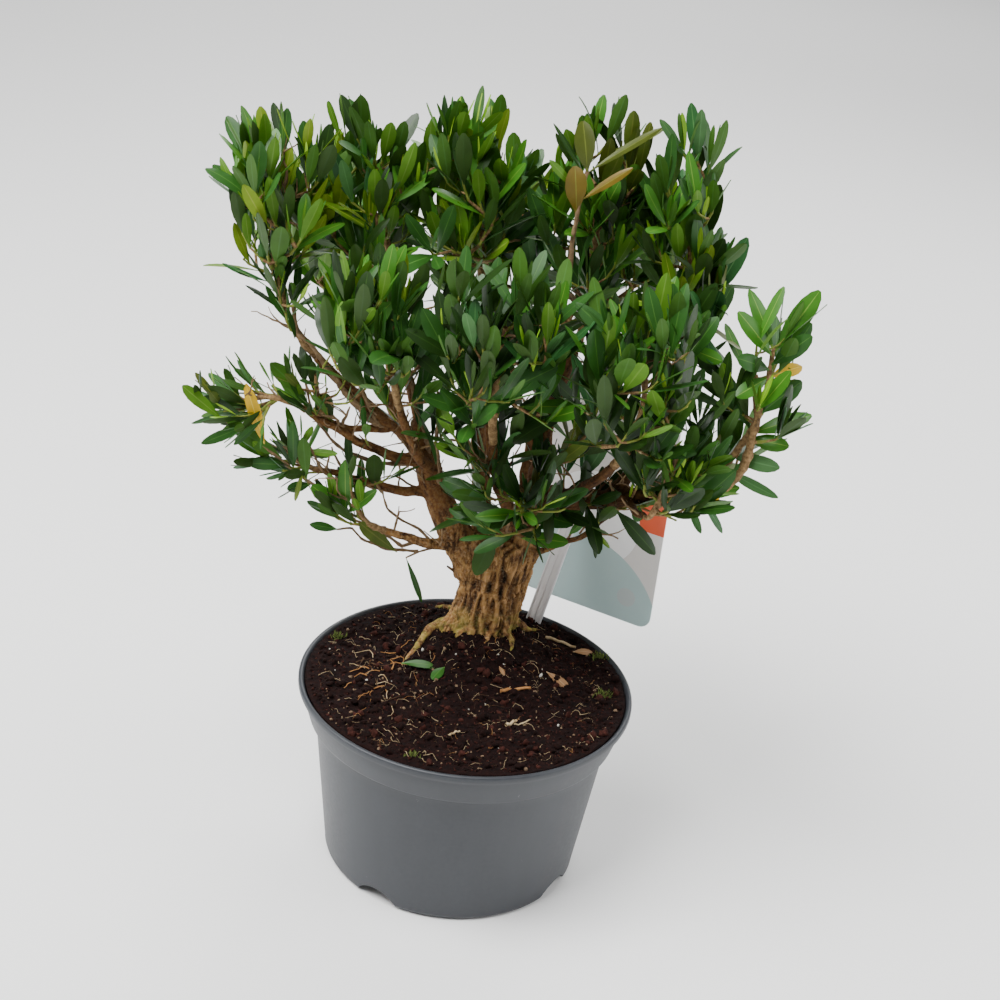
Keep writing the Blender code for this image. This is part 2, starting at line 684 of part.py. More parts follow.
def leaves_on(name, lines, own_stem, rods, dice):
    """Leaf placements on the twigs that stay in the space, clear of limbs, twigs and each other."""
    twigs = [
        [(a, b, TWIG_TIP_RADIUS) for a, b in zip(line, line[1:])] if line is not None else []
        for line in lines
    ]
    scale = leaf_scale(name)
    frames = []
    blades = []
    for number, line in enumerate(lines):
        if line is None:
            continue
        furthest = number < len(MASSES[name].tips)
        others = own_stem + [rod for k, known in enumerate(twigs) if k != number for rod in known]
        first_turn = dice.uniform(0, math.pi)
        room = np.linalg.norm(line[-1] - line[0]) / (LEAF_SPACING * scale)
        places = tuple((pair, half) for pair in range(LEAF_PAIRS) for half in (0, 1) if pair < room)
        for pair, half in (((-1, 0),) if furthest else ()) + places:
            for frame in leaf_frames(line, pair, half, first_turn, scale, dice):
                points = leaf_samples(frame)
                blade = leaf_blade(frame)
                if not inside_space(name, points, furthest) or not clear_of_rods(points, rods):
                    continue
                if not clear_of_rods(points[LEAF_ROOT_SAMPLES:], others, TWIG_MARGIN):
                    continue
                if any(blade.overlap(known) for known in blades):
                    continue
                frames.append(frame)
                blades.append(blade)
                break
    return frames


def build_mass(name, leaf_mesh, parts, twigs, all_rods):
    """One foliage mass: a stem, twigs that leave it and leaves in pairs, joined in one solid."""
    dice = random.Random(SEED + sorted(MASSES).index(name))
    stem, radii = stem_line(name)
    own = [tuple(point) for point in stem]
    rods = [rod for rod in all_rods if tuple(rod[0]) not in own]
    own_stem = [rod for rod in all_rods if tuple(rod[0]) in own]
    bough_points = bough_line(MASSES[name].bough)[0]
    mass = twig_mesh(name, stem, radii, STEM_SIDES, parts, bough_points[-1] - bough_points[-2])
    lines = shoot_lines(name, stem, rods)
    for line in lines:
        if line is None:
            continue
        width = np.linspace(TWIG_RADIUS, TWIG_TIP_RADIUS, len(line))
        twig_mesh("twig", line, width, TWIG_SIDES, twigs)
    for frame in leaves_on(name, lines, own_stem, rods, dice):
        leaf = bpy.data.objects.new("leaf", leaf_mesh)
        twigs.objects.link(leaf)
        leaf.matrix_world = frame
    apply_boolean(mass, "UNION", twigs)
    empty_collection(twigs)
    finish(mass, "foliage")


def build_masses(parts, twigs):
    """Every foliage mass, each in its own space."""
    leaf_mesh = bpy.data.meshes.new("leaf")
    shape = leaf_shape()
    shape.to_mesh(leaf_mesh)
    shape.free()
    rods = limb_rods()
    for name in MASSES:
        build_mass(name, leaf_mesh, parts, twigs, rods)


def build_label(parts, cutters):
    """The label: a clear lance pushed into the peat and a rounded card behind it."""
    foot = Vector(LANCE_FOOT) * MM
    top = Vector(LANCE_TOP) * MM
    axis = top - foot
    turn = Matrix.Rotation(math.radians(CARD_TURN), 4, "Z")
    lean = Vector((0, 0, 1)).rotation_difference(axis).to_matrix().to_4x4()
    place = Matrix.Translation((foot + top) / 2) @ lean @ turn
    lance = box("label_lance", (LANCE_WIDTH, LANCE_THICKNESS, axis.length), place, parts)
    finish(lance, "lance")
    slot_size = (LANCE_WIDTH + 2 * GAP, LANCE_THICKNESS + 2 * GAP, axis.length + 2 * GAP)
    slot = as_guide(box("lance_slot", slot_size, place, cutters))
    outline = bpy.data.curves.new("card_outline", "CURVE")
    outline.dimensions = "2D"
    outline.fill_mode = "BOTH"
    outline.extrude = CARD_THICKNESS / 2
    corners = []
    for quarter, (x, y) in enumerate(((1, 1), (-1, 1), (-1, -1), (1, -1))):
        for step in range(4):
            angle = (quarter + step / 3) * math.pi / 2
            corners.append((x * (CARD_WIDTH / 2 - CARD_CORNER) + CARD_CORNER * math.cos(angle),
                            y * (CARD_HEIGHT / 2 - CARD_CORNER) + CARD_CORNER * math.sin(angle)))
    line = outline.splines.new("POLY")
    line.points.add(len(corners) - 1)
    line.use_cyclic_u = True
    for knot, (x, y) in zip(line.points, corners):
        knot.co = (x, y, 0.0, 1.0)
    guide = bpy.data.objects.new("card_outline", outline)
    cutters.objects.link(guide)
    shape = bmesh.new()
    shape.from_mesh(evaluated_mesh(guide))
    bmesh.ops.remove_doubles(shape, verts=shape.verts, dist=0.000001)
    bmesh.ops.recalc_face_normals(shape, faces=shape.faces)
    bpy.data.objects.remove(guide, do_unlink=True)
    card = mesh_object("label_card", shape, parts)
    upright = Matrix.Rotation(math.pi / 2, 4, "X")
    card.matrix_world = Matrix.Translation(Vector(CARD_CENTRE) * MM) @ turn @ upright
    finish(card, "card")
    return slot


def box(name, size, place, collection):
    """A box of a given size at a placement."""
    shape = bmesh.new()
    bmesh.ops.create_cube(shape, size=1.0, matrix=Matrix.Diagonal((*size, 1.0)))
    obj = mesh_object(name, shape, collection)
    obj.matrix_world = place
    return obj


def main():
    """Build the whole plant in its pot."""
    clear_scene()
    parts = new_collection("boxwood_bonsai")
    cutters = new_collection("cutters")
    clearances = new_collection("clearances")
    twigs = new_collection("twigs")
    build_pot(parts, cutters)
    slot = build_label(parts, cutters)
    build_soil(parts, slot)
    build_trunk_and_boughs(parts, clearances)
    build_masses(parts, twigs)


main()
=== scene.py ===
import json
import math
import random
from collections import namedtuple

import bmesh
import bpy
import numpy as np
from mathutils import Matrix, Vector, noise

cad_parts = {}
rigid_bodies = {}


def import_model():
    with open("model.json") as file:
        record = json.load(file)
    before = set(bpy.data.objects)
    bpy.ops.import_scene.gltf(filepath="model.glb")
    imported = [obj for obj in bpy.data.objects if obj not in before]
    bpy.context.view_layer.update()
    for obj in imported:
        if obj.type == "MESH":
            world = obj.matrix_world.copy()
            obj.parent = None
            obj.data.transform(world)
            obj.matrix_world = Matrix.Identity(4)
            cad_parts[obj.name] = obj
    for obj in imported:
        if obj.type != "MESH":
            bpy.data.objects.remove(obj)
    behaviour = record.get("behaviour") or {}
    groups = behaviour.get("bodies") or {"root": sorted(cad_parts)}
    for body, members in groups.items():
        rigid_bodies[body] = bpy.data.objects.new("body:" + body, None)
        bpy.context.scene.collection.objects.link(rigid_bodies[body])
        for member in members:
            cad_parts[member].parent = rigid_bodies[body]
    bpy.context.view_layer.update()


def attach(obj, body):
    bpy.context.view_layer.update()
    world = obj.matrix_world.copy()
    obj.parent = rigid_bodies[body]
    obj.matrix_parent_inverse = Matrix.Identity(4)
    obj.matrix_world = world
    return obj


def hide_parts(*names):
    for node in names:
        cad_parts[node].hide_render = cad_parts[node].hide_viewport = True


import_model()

MM = 0.001
SEED = 29
UP = np.array((0.0, 0.0, 1.0))
GOLDEN_ANGLE = math.pi * (3 - math.sqrt(5))
noise.seed_set(SEED)

# Pot and soil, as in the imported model, in millimetres.
POT_STEPS = 192
ARCH_ANGLES = (60, 150, 240, 330)
ARCH_WIDTH = 25.0
ARCH_HEIGHT = 8.0
ARCH_REACH = 12.0
FOOT_RADIUS = 66.0
SOIL_TOP = 96.7
SOIL_RADIUS = 81.6
SOIL_STEPS = 150
CRUMBS = 4600
FIBRES = 420

# Trunk and boughs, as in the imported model, in millimetres.
TRUNK_FOOT = (3, 52, 97)
TRUNK_BEND = (8, 51, 128)
TRUNK_FORK = (9.5, 48, 157)
TRUNK_RADII = (17.5, 17, 20.5)
TRUNK_SIDES = 72
TRUNK_RINGS = 30
LIMB_SIDES = 14
ROOT_SIDES = 10
BARK_VOXEL = 0.8
TRUNK_RIDGES = 7
TRUNK_RIDGE_DEPTH = 0.045
TRUNK_TWIST = 2.4
TRUNK_DEPTH_SHARE = 0.9
ROOT_FLARES = ((212, 8, 5.0), (292, 2, 9.0), (20, 0.8, 4.0), (120, 3, 4.0))
FLARE_HEIGHT = 7.0
MOUND = 9.5

Bough = namedtuple("Bough", "start tip bow base_radius tip_radius")
BOUGHS = {
    "limb_left": Bough((-4, 48, 143), (-38, 36, 214), (-3, 0, -6), 9.4, 5.4),
    "limb_right": Bough((15, 47, 146), (24, 42, 190), (1, 0, 2), 9.6, 7.0),
    "limb_middle": Bough((1, 56, 149), (-12, 70, 254), (-5, 4, 4), 5.6, 2.8),
    "bough_upper_left": Bough((-36, 37, 211), (-90, 30, 254), (5, 0, -9), 4.3, 2.4),
    "bough_top_left": Bough((-37, 37, 208), (-50, 50, 262), (3, 0, -3), 3.6, 2.2),
    "bough_far_left": Bough((-32, 37, 201), (-92, 17, 231), (0, 0, -9), 3.2, 1.6),
    "bough_low_left": Bough((-22, 41, 181), (-84, 21, 198), (0, 2, -2), 3.0, 1.6),
    "bough_under_left": Bough((-6, 45, 151), (-50, 25, 167), (0, 3, -1), 3.6, 1.9),
    "bough_mid_left": Bough((-55, 34, 219), (-79, 24, 223), (0, -2, -3), 2.1, 1.5),
    "bough_front_left": Bough((-29, 37, 198), (-46, 10, 240), (-2, -7, -5), 3.3, 2.0),
    "bough_right": Bough((24, 41, 188), (105, 4, 219), (-2, 2, -5), 6.2, 3.2),
    "bough_top_right": Bough((23, 43, 187), (35, 58, 262), (-4, 2, 0), 4.6, 2.5),
    "bough_front_right": Bough((23, 41, 184), (58, -4, 230), (2, -5, -6), 3.9, 2.2),
    "bough_far_right": Bough((60, 24, 200), (86, 42, 262), (7, 2, -6), 3.5, 2.2),
    "bough_low_right": Bough((70, 20, 203), (76, -10, 208), (0, -1, -3), 2.2, 1.5),
    "bough_under_right": Bough((18, 44, 150), (61, 25, 189), (3, 0, -4), 2.0, 1.3),
    "bough_centre_front": Bough((20, 45, 168), (0, 2, 232), (-6, -12, -6), 3.8, 2.2),
    "bough_low_front": Bough((18, 46, 163), (24, 14, 192), (2, -6, -3), 2.6, 1.5),
    "bough_back_left": Bough((-27, 39, 192), (-72, 86, 238), (0, 4, -8), 3.8, 2.2),
    "bough_back_centre": Bough((-3, 61, 178), (-8, 104, 246), (2, 8, -8), 3.2, 2.1),
    "bough_back_right": Bough((20, 45, 172), (27, 107, 248), (-8, 10, -2), 3.8, 2.2),
}

# Foliage masses: the bough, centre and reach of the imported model, its furthest tips, how many shoots
# grow near the outside and inside, and the shares of the leaf kinds below.
Mass = namedtuple("Mass", "bough centre reach tips outer inner kinds")
# Shares of leaf kinds for the masses. The top masses get lighter kinds, and the centre, low and inner masses get darker
# ones with the shade kind. This is painted light and painted shade for how light falls on the crown; the inner leaves
# are also older.
LIT_TOP_KINDS = {"mid": 5, "olive": 2, "deep": 3, "blue": 1}
MIXED = {"deep": 5, "mid": 4, "olive": 1, "blue": 1}
SHADED_CENTRE_KINDS = {"deep": 6, "mid": 2, "blue": 1, "shade": 4}
SHADED_LOW_KINDS = {"deep": 5, "mid": 1, "blue": 1, "shade": 4, "bronze": 0.7}
OLD_AND_SHADED_INNER_KINDS = {"shade": 4, "deep": 3}
MASSES = {
    "foliage_upper_left": Mass("bough_upper_left", (-114, 35, 328), (34, 36, 50),
                               ((-146, 35, 347), (-142, 35, 364), (-131, 36, 367), (-111, 42, 372), (-129, 30, 312),
                                (-122, 34, 297)), 26, 13, LIT_TOP_KINDS),
    "foliage_top_left": Mass("bough_top_left", (-71, 56, 328), (31, 34, 52),
                             ((-85, 52, 379), (-99, 52, 373), (-74, 52, 378), (-53, 56, 372)), 25, 14, LIT_TOP_KINDS),
    "foliage_top_centre": Mass("limb_middle", (-25, 58, 334), (36, 36, 56),
                               ((-24, 50, 387), (-38, 50, 383), (-46, 50, 374), (-9, 60, 360)), 25, 14, LIT_TOP_KINDS),
    "foliage_top_right": Mass("bough_top_right", (34, 60, 332), (36, 36, 58),
                              ((27, 60, 386), (41, 60, 391), (56, 60, 379), (14, 60, 370)), 25, 14, MIXED),
    "foliage_far_right": Mass("bough_far_right", (76, 48, 328), (26, 34, 56),
                              ((71, 50, 390), (80, 50, 390), (91, 50, 385), (97, 50, 358), (103, 42, 326)),
                              19, 12, MIXED),
    "foliage_right": Mass("bough_right", (118, 6, 267), (31, 34, 52),
                          ((114, 4, 320), (135, 8, 319), (108, 8, 304)), 7, 3, MIXED),
    "foliage_low_right": Mass("bough_low_right", (86, -14, 234), (34, 32, 31), ((116, 0, 210),), 20, 9, SHADED_LOW_KINDS),
    "foliage_under_right": Mass("bough_under_right", (80, 22, 205), (20, 22, 13), (), 5, 3, SHADED_LOW_KINDS),
    "foliage_front_right": Mass("bough_front_right", (62, -30, 286), (36, 34, 48), (), 27, 13, SHADED_CENTRE_KINDS),
    "foliage_centre_front": Mass("bough_centre_front", (0, -26, 288), (40, 34, 50), (), 29, 15, SHADED_CENTRE_KINDS),
    "foliage_low_front": Mass("bough_low_front", (14, -2, 206), (36, 30, 28), (), 14, 5, SHADED_LOW_KINDS),
    "foliage_front_left": Mass("bough_front_left", (-60, -8, 284), (34, 34, 46), (), 25, 13, MIXED),
    "foliage_mid_left": Mass("bough_mid_left", (-88, 18, 243), (25, 26, 26), (), 11, 4, SHADED_LOW_KINDS),
    "foliage_far_left": Mass("bough_far_left", (-121, 14, 230), (31, 28, 21),
                             ((-155, 14, 236), (-141, 14, 246), (-114, 14, 262)), 12, 4, SHADED_LOW_KINDS),
    "foliage_low_left": Mass("bough_low_left", (-100, 18, 206), (28, 26, 19), ((-130, 12, 204),), 8, 2, SHADED_LOW_KINDS),
    "foliage_under_left": Mass("bough_under_left", (-67, 18, 184), (25, 24, 22), (), 7, 2, SHADED_LOW_KINDS),
    "foliage_back_left": Mass("bough_back_left", (-84, 104, 286), (38, 34, 54), (), 33, 14, MIXED),
    "foliage_back_centre": Mass("bough_back_centre", (-12, 116, 296), (40, 34, 56), (), 34, 14, MIXED),
    "foliage_back_right": Mass("bough_back_right", (60, 110, 292), (38, 34, 50), (), 33, 14, MIXED),
}

# Notches in the crown where the sky shows through: a point in each and its radius. They run both ways along
# the photo's line of sight, for the depth given.
SIGHT = (0.0, 0.9, -0.434)
NOTCH_DEPTH = 55
NOTCHES = (((-105, 50, 368), 8), ((-64, 56, 372), 9), ((2, 60, 376), 11), ((-8, 60, 386), 5), ((14, 60, 382), 5),
           ((50, 60, 391), 7), ((43, 60, 370), 4), ((60, 60, 373), 4), ((107, 50, 364), 9), ((106, 48, 346), 9),
           ((118, 45, 332), 8), ((97, 50, 350), 5), ((103, 50, 340), 5), ((-143, 35, 322), 9), ((-138, 35, 302), 8),
           ((109, 42, 313), 6), ((-10, 58, 362), 5),
           ((-122, 30, 276), 6), ((110, 30, 300), 9), ((116, 22, 287), 5), ((-127, 25, 264), 9), ((-110, 24, 262), 7),
           ((88, 18, 184), 13), ((103, 18, 188), 10), ((70, 18, 176), 11), ((-40, 60, 388), 4), ((-86, 25, 261), 6),
           ((-76, 25, 243), 6), ((-73.5, 25, 231), 4))

# Shoots and leaves, in millimetres and degrees.
SPACE_POWER = 2.8
SPIRAL_TOP = 0.96
SPIRAL_FOOT = -0.8
INNER_SHARE = 0.55
TIP_PULL = 20.5
LEAF_LENGTH = 30.5
LEAF_WIDTH = 8.0
LEAF_THICKNESS = 0.32
LEAF_STATIONS = ((0.0, 0.1), (0.08, 0.2), (0.24, 0.58), (0.42, 0.9), (0.6, 1.0), (0.77, 0.9), (0.92, 0.58), (1.0, 0.16))
LEAF_STRIPS = (-1.0, -0.52, -0.055, 0.055, 0.52, 1.0)
LEAVES_A_PIECE = 1600
INTERNODES = (0.8, 3.4, 6.8, 8.8, 9.6, 9.8, 10.0, 10.2)
PAIR_SIZES = (0.54, 0.84, 1.0, 1.0, 1.0, 0.94, 0.86, 0.78)
PAIR_ANGLES = (13, 25, 36, 44, 51, 57, 62, 66)

# Leaf kinds: colour of the upper side, the underside and the midrib.
LEAF_COLOURS = {
    # The shade kind is painted shade: a darker copy of the leaves, dealt to shaded places in the crown.
    "shade": ("1a340a", "2c4810", "2c4a16"),
    "deep": ("265018", "3a6216", "406a26"),
    "mid": ("386c18", "527e18", "668c30"),
    "olive": ("567a16", "76921a", "8a9c34"),
    # The blue kind is a bluish green: partly the leaves' own waxy bloom, partly a painted reflection of the sky on
    # glossy upper sides.
    "blue": ("265426", "3c6832", "48763e"),
    "fresh": ("78a81c", "8cb42c", "a0c444"),
    "bronze": ("485214", "50621a", "646e26"),
    "orange": ("6c5a14", "66661c", "7c7a2a"),
    "yellow": ("c8a010", "bc9a2c", "dcc048"),
    "dry": ("8a6848", "9c7c5a", "a98d6c"),
}

# Places where the photo's crown shows turned or bright young leaves: point, reach, kind.
TINTS = (((27, 45, 368), 9, "bronze"), ((45, 50, 362), 14, "bronze"), ((-88, 35, 330), 12, "olive"))
FRESH_TIPS = ((-115, 35, 326), (-92, 35, 345), (-85, 55, 374), (-60, 50, 350), (-30, 50, 355), (8, -35, 289),
              (2, -35, 286), (-90, 30, 330), (-10, 40, 352))


def rgb(code):
    """Linear colour from a hex code of the colour as seen."""
    channels = [int(code[k:k + 2], 16) / 255 for k in (0, 2, 4)]
    return tuple(c / 12.92 if c <= 0.04045 else ((c + 0.055) / 1.055) ** 2.4 for c in channels) + (1.0,)


# A Mix node that lays one colour over another by a share: its sockets, and its output and settings.
SHARE, UNDER, OVER = 0, 6, 7
PAINT = {"out": 2, "data_type": "RGBA"}


def node(tree, kind, inputs=None, out=0, stops=(), **settings):
    """Add a shader node and give one of its outputs; a socket is linked, a hex code turned to a colour."""
    made = tree.nodes.new("ShaderNode" + kind)
    for name, value in settings.items():
        setattr(made, name, value)
    for name, value in (inputs or {}).items():
        if isinstance(value, bpy.types.NodeSocket):
            tree.links.new(value, made.inputs[name])
        else:
            made.inputs[name].default_value = rgb(value) if isinstance(value, str) else value
    for k, (place, colour) in enumerate(stops):
        points = made.color_ramp.elements
        point = points[k] if k < len(points) else points.new(place)
        point.position, point.color = place, rgb(colour)
    return made.outputs[out]


def finish(name, roughness, **values):
    """A Principled material with plain values; returns the material, its tree and its shader's inputs."""
    made = bpy.data.materials.new(name)
    made.use_nodes = True
    inputs = made.node_tree.nodes["Principled BSDF"].inputs
    for key, value in dict(values, Roughness=roughness).items():
        inputs[key.replace("_", " ")].default_value = value
    return made, made.node_tree, inputs


def spots(tree, size, detail=3.0, stretch=(1, 1, 1), roughness=0.55):
    """Uneven spots of a given size in millimetres, in the object's own coordinates."""
    place = node(tree, "Mapping", {"Vector": node(tree, "TexCoord", out="Object"), "Scale": stretch})
    return node(tree, "TexNoise", {"Vector": place, "Scale": 1 / (size * MM), "Detail": detail,
                                   "Roughness": roughness})


def joined(tree, inputs, **sockets):
    """Link sockets to a shader's inputs by name."""
    for name, socket in sockets.items():
        tree.links.new(socket, inputs[name.replace("_", " ")])


def unit(vector):
    """The vector, or each row of an array, at length one."""
    return vector / np.maximum(np.linalg.norm(vector, axis=-1, keepdims=True), 1e-9)


def quadratic(start, bend, end, shares):
    """Points at some shares of a quadratic curve, as rows of an array."""
    t = np.reshape(shares, (-1, 1))
    start, bend, end = (np.array(p, float) for p in (start, bend, end))
    return (1 - t) ** 2 * start + 2 * t * (1 - t) * bend + t ** 2 * end


def travelled(points):
    """The length run at each point of a line."""
    return np.concatenate([[0], np.cumsum(np.linalg.norm(np.diff(points, axis=0), axis=1))])


def at(line, steps, wanted):
    """The places on a line at wanted steps along it."""
    return np.stack([np.interp(wanted, steps, line[:, k]) for k in range(3)], -1)


def resample(points, gap):
    """Points at an even spacing along a line."""
    steps = travelled(points)
    return at(points, steps, np.linspace(0, steps[-1], max(3, int(steps[-1] / gap) + 1)))


def jolt(dice, size):
    """A random push in any direction."""
    return np.array([dice.gauss(0, size) for _ in range(3)])


def scene_object(name, data):
    """An object of some data, placed in the scene."""
    made = bpy.data.objects.new(name, data)
    bpy.context.scene.collection.objects.link(made)
    return made


def mesh_object(name, corners, faces):
    """An object from corners in millimetres and the corner numbers of its faces."""
    mesh = bpy.data.meshes.new(name)
    mesh.from_pydata((np.asarray(corners) * MM).tolist(), [], faces if isinstance(faces, list) else faces.tolist())
    return scene_object(name, mesh)


def solid(name, corners, faces):
    """A closed object, its doubled corners merged and its faces turned outwards."""
    made = mesh_object(name, corners, faces)
    shape = bmesh.new()
    shape.from_mesh(made.data)
    bmesh.ops.remove_doubles(shape, verts=shape.verts, dist=1e-7)
    bmesh.ops.recalc_face_normals(shape, faces=shape.faces)
    shape.to_mesh(made.data)
    shape.free()
    return made


def apply_modifiers(obj):
    """Bake an object's modifiers into its mesh."""
    bpy.context.view_layer.update()
    graph = bpy.context.evaluated_depsgraph_get()
    mesh = bpy.data.meshes.new_from_object(obj.evaluated_get(graph))
    obj.modifiers.clear()
    obj.data = mesh


def dressed(obj, materials, slots=None, replaces=()):
    """Give a piece its finishes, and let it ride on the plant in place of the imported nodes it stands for."""
    mesh = obj.data
    for material in materials:
        mesh.materials.append(material)
    if slots is not None:
        mesh.polygons.foreach_set("material_index", np.asarray(slots, np.int32))
    mesh.polygons.foreach_set("use_smooth", np.ones(len(mesh.polygons), bool))
    mesh.validate()
    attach(obj, "root")
    if replaces:
        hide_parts(*replaces)


def skin(rings, sides):
    """Four-sided faces between rings of corners, each ring to the next."""
    lower = np.arange(rings - 1)[:, None] * sides + np.arange(sides)
    after = np.roll(lower, -1, axis=1)
    return np.stack([lower, after, after + sides, lower + sides], -1).reshape(-1, 4)


def closed(corners, faces, sides):
    """The faces of a tube, and one over each of its ends."""
    last = len(corners) - sides
    return faces.tolist() + [list(range(sides))[::-1], list(range(last, last + sides))]


def side_ways(points):
    """Two directions across a line at each of its points, turning smoothly along it."""
    headings = unit(np.gradient(points, axis=0))
    side = unit(np.cross(headings[0], (0.21, 0.34, 0.92)))
    first = []
    for heading in headings:
        side = unit(side - heading * (side @ heading))
        first.append(side)
    return np.array(first), np.cross(headings, first)


def loft(points, radii, sides):
    """Rings of a few sides along points; returns corners and four-sided faces, open at both ends."""
    points = np.asarray(points, float)
    side, other = side_ways(points)
    angles = (2 * math.pi * np.arange(sides) / sides)[:, None]
    corners = points[:, None] + np.reshape(radii, (-1, 1, 1)) * (np.cos(angles) * side[:, None]
                                                                 + np.sin(angles) * other[:, None])
    return corners.reshape(-1, 3), skin(len(points), sides)


class Bundle:
    """Twigs or other small shapes gathered into one mesh."""

    def __init__(self):
        self.points, self.faces, self.slots, self.count = [], [], [], 0

    def add(self, corners, faces, slot):
        self.points.append(corners)
        self.faces.append(faces + self.count)
        self.slots.append(np.broadcast_to(slot, len(faces)))
        self.count += len(corners)

    def made(self, name, slot, materials, replaces=()):
        dressed(mesh_object(name, np.concatenate(self.points), np.concatenate(self.faces)), materials,
                np.concatenate(self.slots), replaces)


# The photo's camera, in metres and radians, and the lights: name, place, aim, size in metres and power.
CAMERA_SPOT = (0.0064, -0.7396, 0.5583)
CAMERA_TILT = 0.4475
CAMERA_ROLL = 0.1161
LENS = 61.2
FLOOR_RADIUS = 6000
LIGHTS = (("key", (-0.6, -0.5, 1.75), (0, 0.03, 0.2), 1.0, 54), ("left", (-1.3, -0.1, 1.0), (0, 0.03, 0.25), 1.0, 18),
          ("right", (1.3, -0.1, 0.8), (0, 0.03, 0.2), 1.0, 15), ("back", (0.5, 1.2, 1.3), (0, 0.03, 0.25), 0.9, 14),
          ("backdrop", (0, 2.8, 2.0), (0, 2.6, 0), 2.0, 48))


def studio():
    """Camera at the photo's place, a wide pale floor and soft lights."""
    camera = scene_object("camera", bpy.data.cameras.new("camera"))
    camera.data.lens = LENS
    camera.data.clip_start = 0.01
    camera.matrix_world = (Matrix.Translation(CAMERA_SPOT) @ Matrix.Rotation(math.pi / 2 - CAMERA_TILT, 4, "X")
                           @ Matrix.Rotation(CAMERA_ROLL, 4, "Z"))
    bpy.context.scene.camera = camera
    rim = [(FLOOR_RADIUS * math.cos(a), FLOOR_RADIUS * math.sin(a), 0) for a in 2 * math.pi * np.arange(96) / 96]
    floor = mesh_object("floor", rim, [list(range(96))])
    floor.data.materials.append(finish("pale_studio_floor", 0.9, Base_Color=rgb("f4f4f3"))[0])
    world = bpy.data.worlds.new("studio_air")
    world.use_nodes = True
    bpy.context.scene.world = world
    air = world.node_tree.nodes["Background"].inputs
    air["Color"].default_value = rgb("fbfcfd")
    air["Strength"].default_value = 0.34
    for name, spot, aim, size, power in LIGHTS:
        light = scene_object(name, bpy.data.lights.new(name, "AREA"))
        light.data.size = size
        light.data.energy = power
        light.location = spot
        light.rotation_euler = (Vector(aim) - Vector(spot)).to_track_quat("-Z", "Y").to_euler()


def pot_surface():
    """Injection-moulded polypropylene: blue-grey, satin, with faint flow marks, dust and scuffs."""
    made, tree, inputs = finish("injection_moulded_polypropylene", 0.44, Specular_IOR_Level=0.45)
    flow = spots(tree, 9, 4, (1, 1, 0.16))
    dust = spots(tree, 2.2, 5)
    scuff = node(tree, "ValToRGB", {"Fac": spots(tree, 5, 6, (1, 1, 0.7), 0.7)},
                 stops=((0.68, "000000"), (0.74, "ffffff")))
    base = "1e2229"
    for share, most, colour in ((flow, 1, "282c33"), (dust, 0.2, "60605f"), (scuff, 0.25, "9a9a97")):
        amount = node(tree, "Math", {0: share, 1: most}, operation="MULTIPLY")
        base = node(tree, "Mix", {SHARE: amount, UNDER: base, OVER: colour}, **PAINT)
    joined(tree, inputs, Base_Color=base,
           Roughness=node(tree, "MapRange", {"Value": dust, "To Min": 0.36, "To Max": 0.56}),
           Normal=node(tree, "Bump", {"Height": flow, "Distance": 0.12 * MM, "Strength": 0.5}))
    return made


def pot_outline():
    """Radius and height from the centre of the pot's inside, over the lip and down to the foot."""
    inside = [(0, 3.2), (58, 3.0), (61.5, 4.0), (63.4, 7.5), (72.8, 78.0), (73.4, 80.0), (76.4, 83.2), (76.9, 85.0),
              (81.8, 97.0), (82.3, 99.0)]
    lip = [(83.7 + 1.3 * math.cos(a), 98.7 + 1.3 * math.sin(a)) for a in np.linspace(2.7, 0.0, 8)]
    collar = [(85.0, 97.3), (84.7, 96.5), (83.4, 96.0), (82.9, 95.4), (82.7, 94.0), (80.9, 88.0), (79.2, 82.2),
              (78.9, 81.3), (78.2, 80.8), (76.4, 80.5), (75.6, 80.0), (75.2, 79.0)]
    wall = [(75.2 + (FOOT_RADIUS - 75.2) * t, 79.0 + (4.0 - 79.0) * t) for t in np.linspace(0.08, 1.0, 14)]
    foot = [(FOOT_RADIUS - 3.5 * (1 - math.cos(a)), 3.5 * (1 - math.sin(a))) for a in np.linspace(0.15, 1.57, 6)]
    base = [(61.0, 0.0), (60.2, 0.5), (0, 0.5)]
    return inside + lip + collar + wall + foot + base


def nursery_pot():
    """The pot, turned from its outline, with four arches cut through the foot."""
    outline = pot_outline()
    angles = 2 * math.pi * np.arange(POT_STEPS) / POT_STEPS
    corners = [(radius * math.cos(a), radius * math.sin(a), height) for radius, height in outline for a in angles]
    pot = solid("nursery_pot", corners, skin(len(outline), POT_STEPS))
    radius = (ARCH_WIDTH ** 2 / 4 + ARCH_HEIGHT ** 2) / (2 * ARCH_HEIGHT)
    cutters = []
    for angle in np.radians(ARCH_ANGLES):
        way = np.array((math.cos(angle), math.sin(angle), 0))
        ends = [way * (FOOT_RADIUS + reach) + UP * (ARCH_HEIGHT - radius) for reach in (-ARCH_REACH, ARCH_REACH)]
        corners, faces = loft(ends, (radius, radius), 96)
        cutters.append(solid("arch", corners, closed(corners, faces, 96)))
        carve = pot.modifiers.new("arch", "BOOLEAN")
        carve.operation = "DIFFERENCE"
        carve.object = cutters[-1]
        carve.solver = "EXACT"
    apply_modifiers(pot)
    for cutter in cutters:
        bpy.data.objects.remove(cutter, do_unlink=True)
    dressed(pot, [pot_surface()], replaces=("pot",))
    pot.data.set_sharp_from_angle(angle=math.radians(38))


def trunk_point(share):
    """Centre of the trunk at a share of its height."""
    return quadratic(TRUNK_FOOT, TRUNK_BEND, TRUNK_FORK, min(share, 1.0))[0]


def trunk_radius(share):
    """Mean radius of the trunk at a share of its height."""
    foot, waist, fork = TRUNK_RADII
    if share < 0.5:
        return waist + (foot - waist) * (1 - 2 * share) ** 2
    return waist + (fork - waist) * (2 * share - 1) ** 1.5


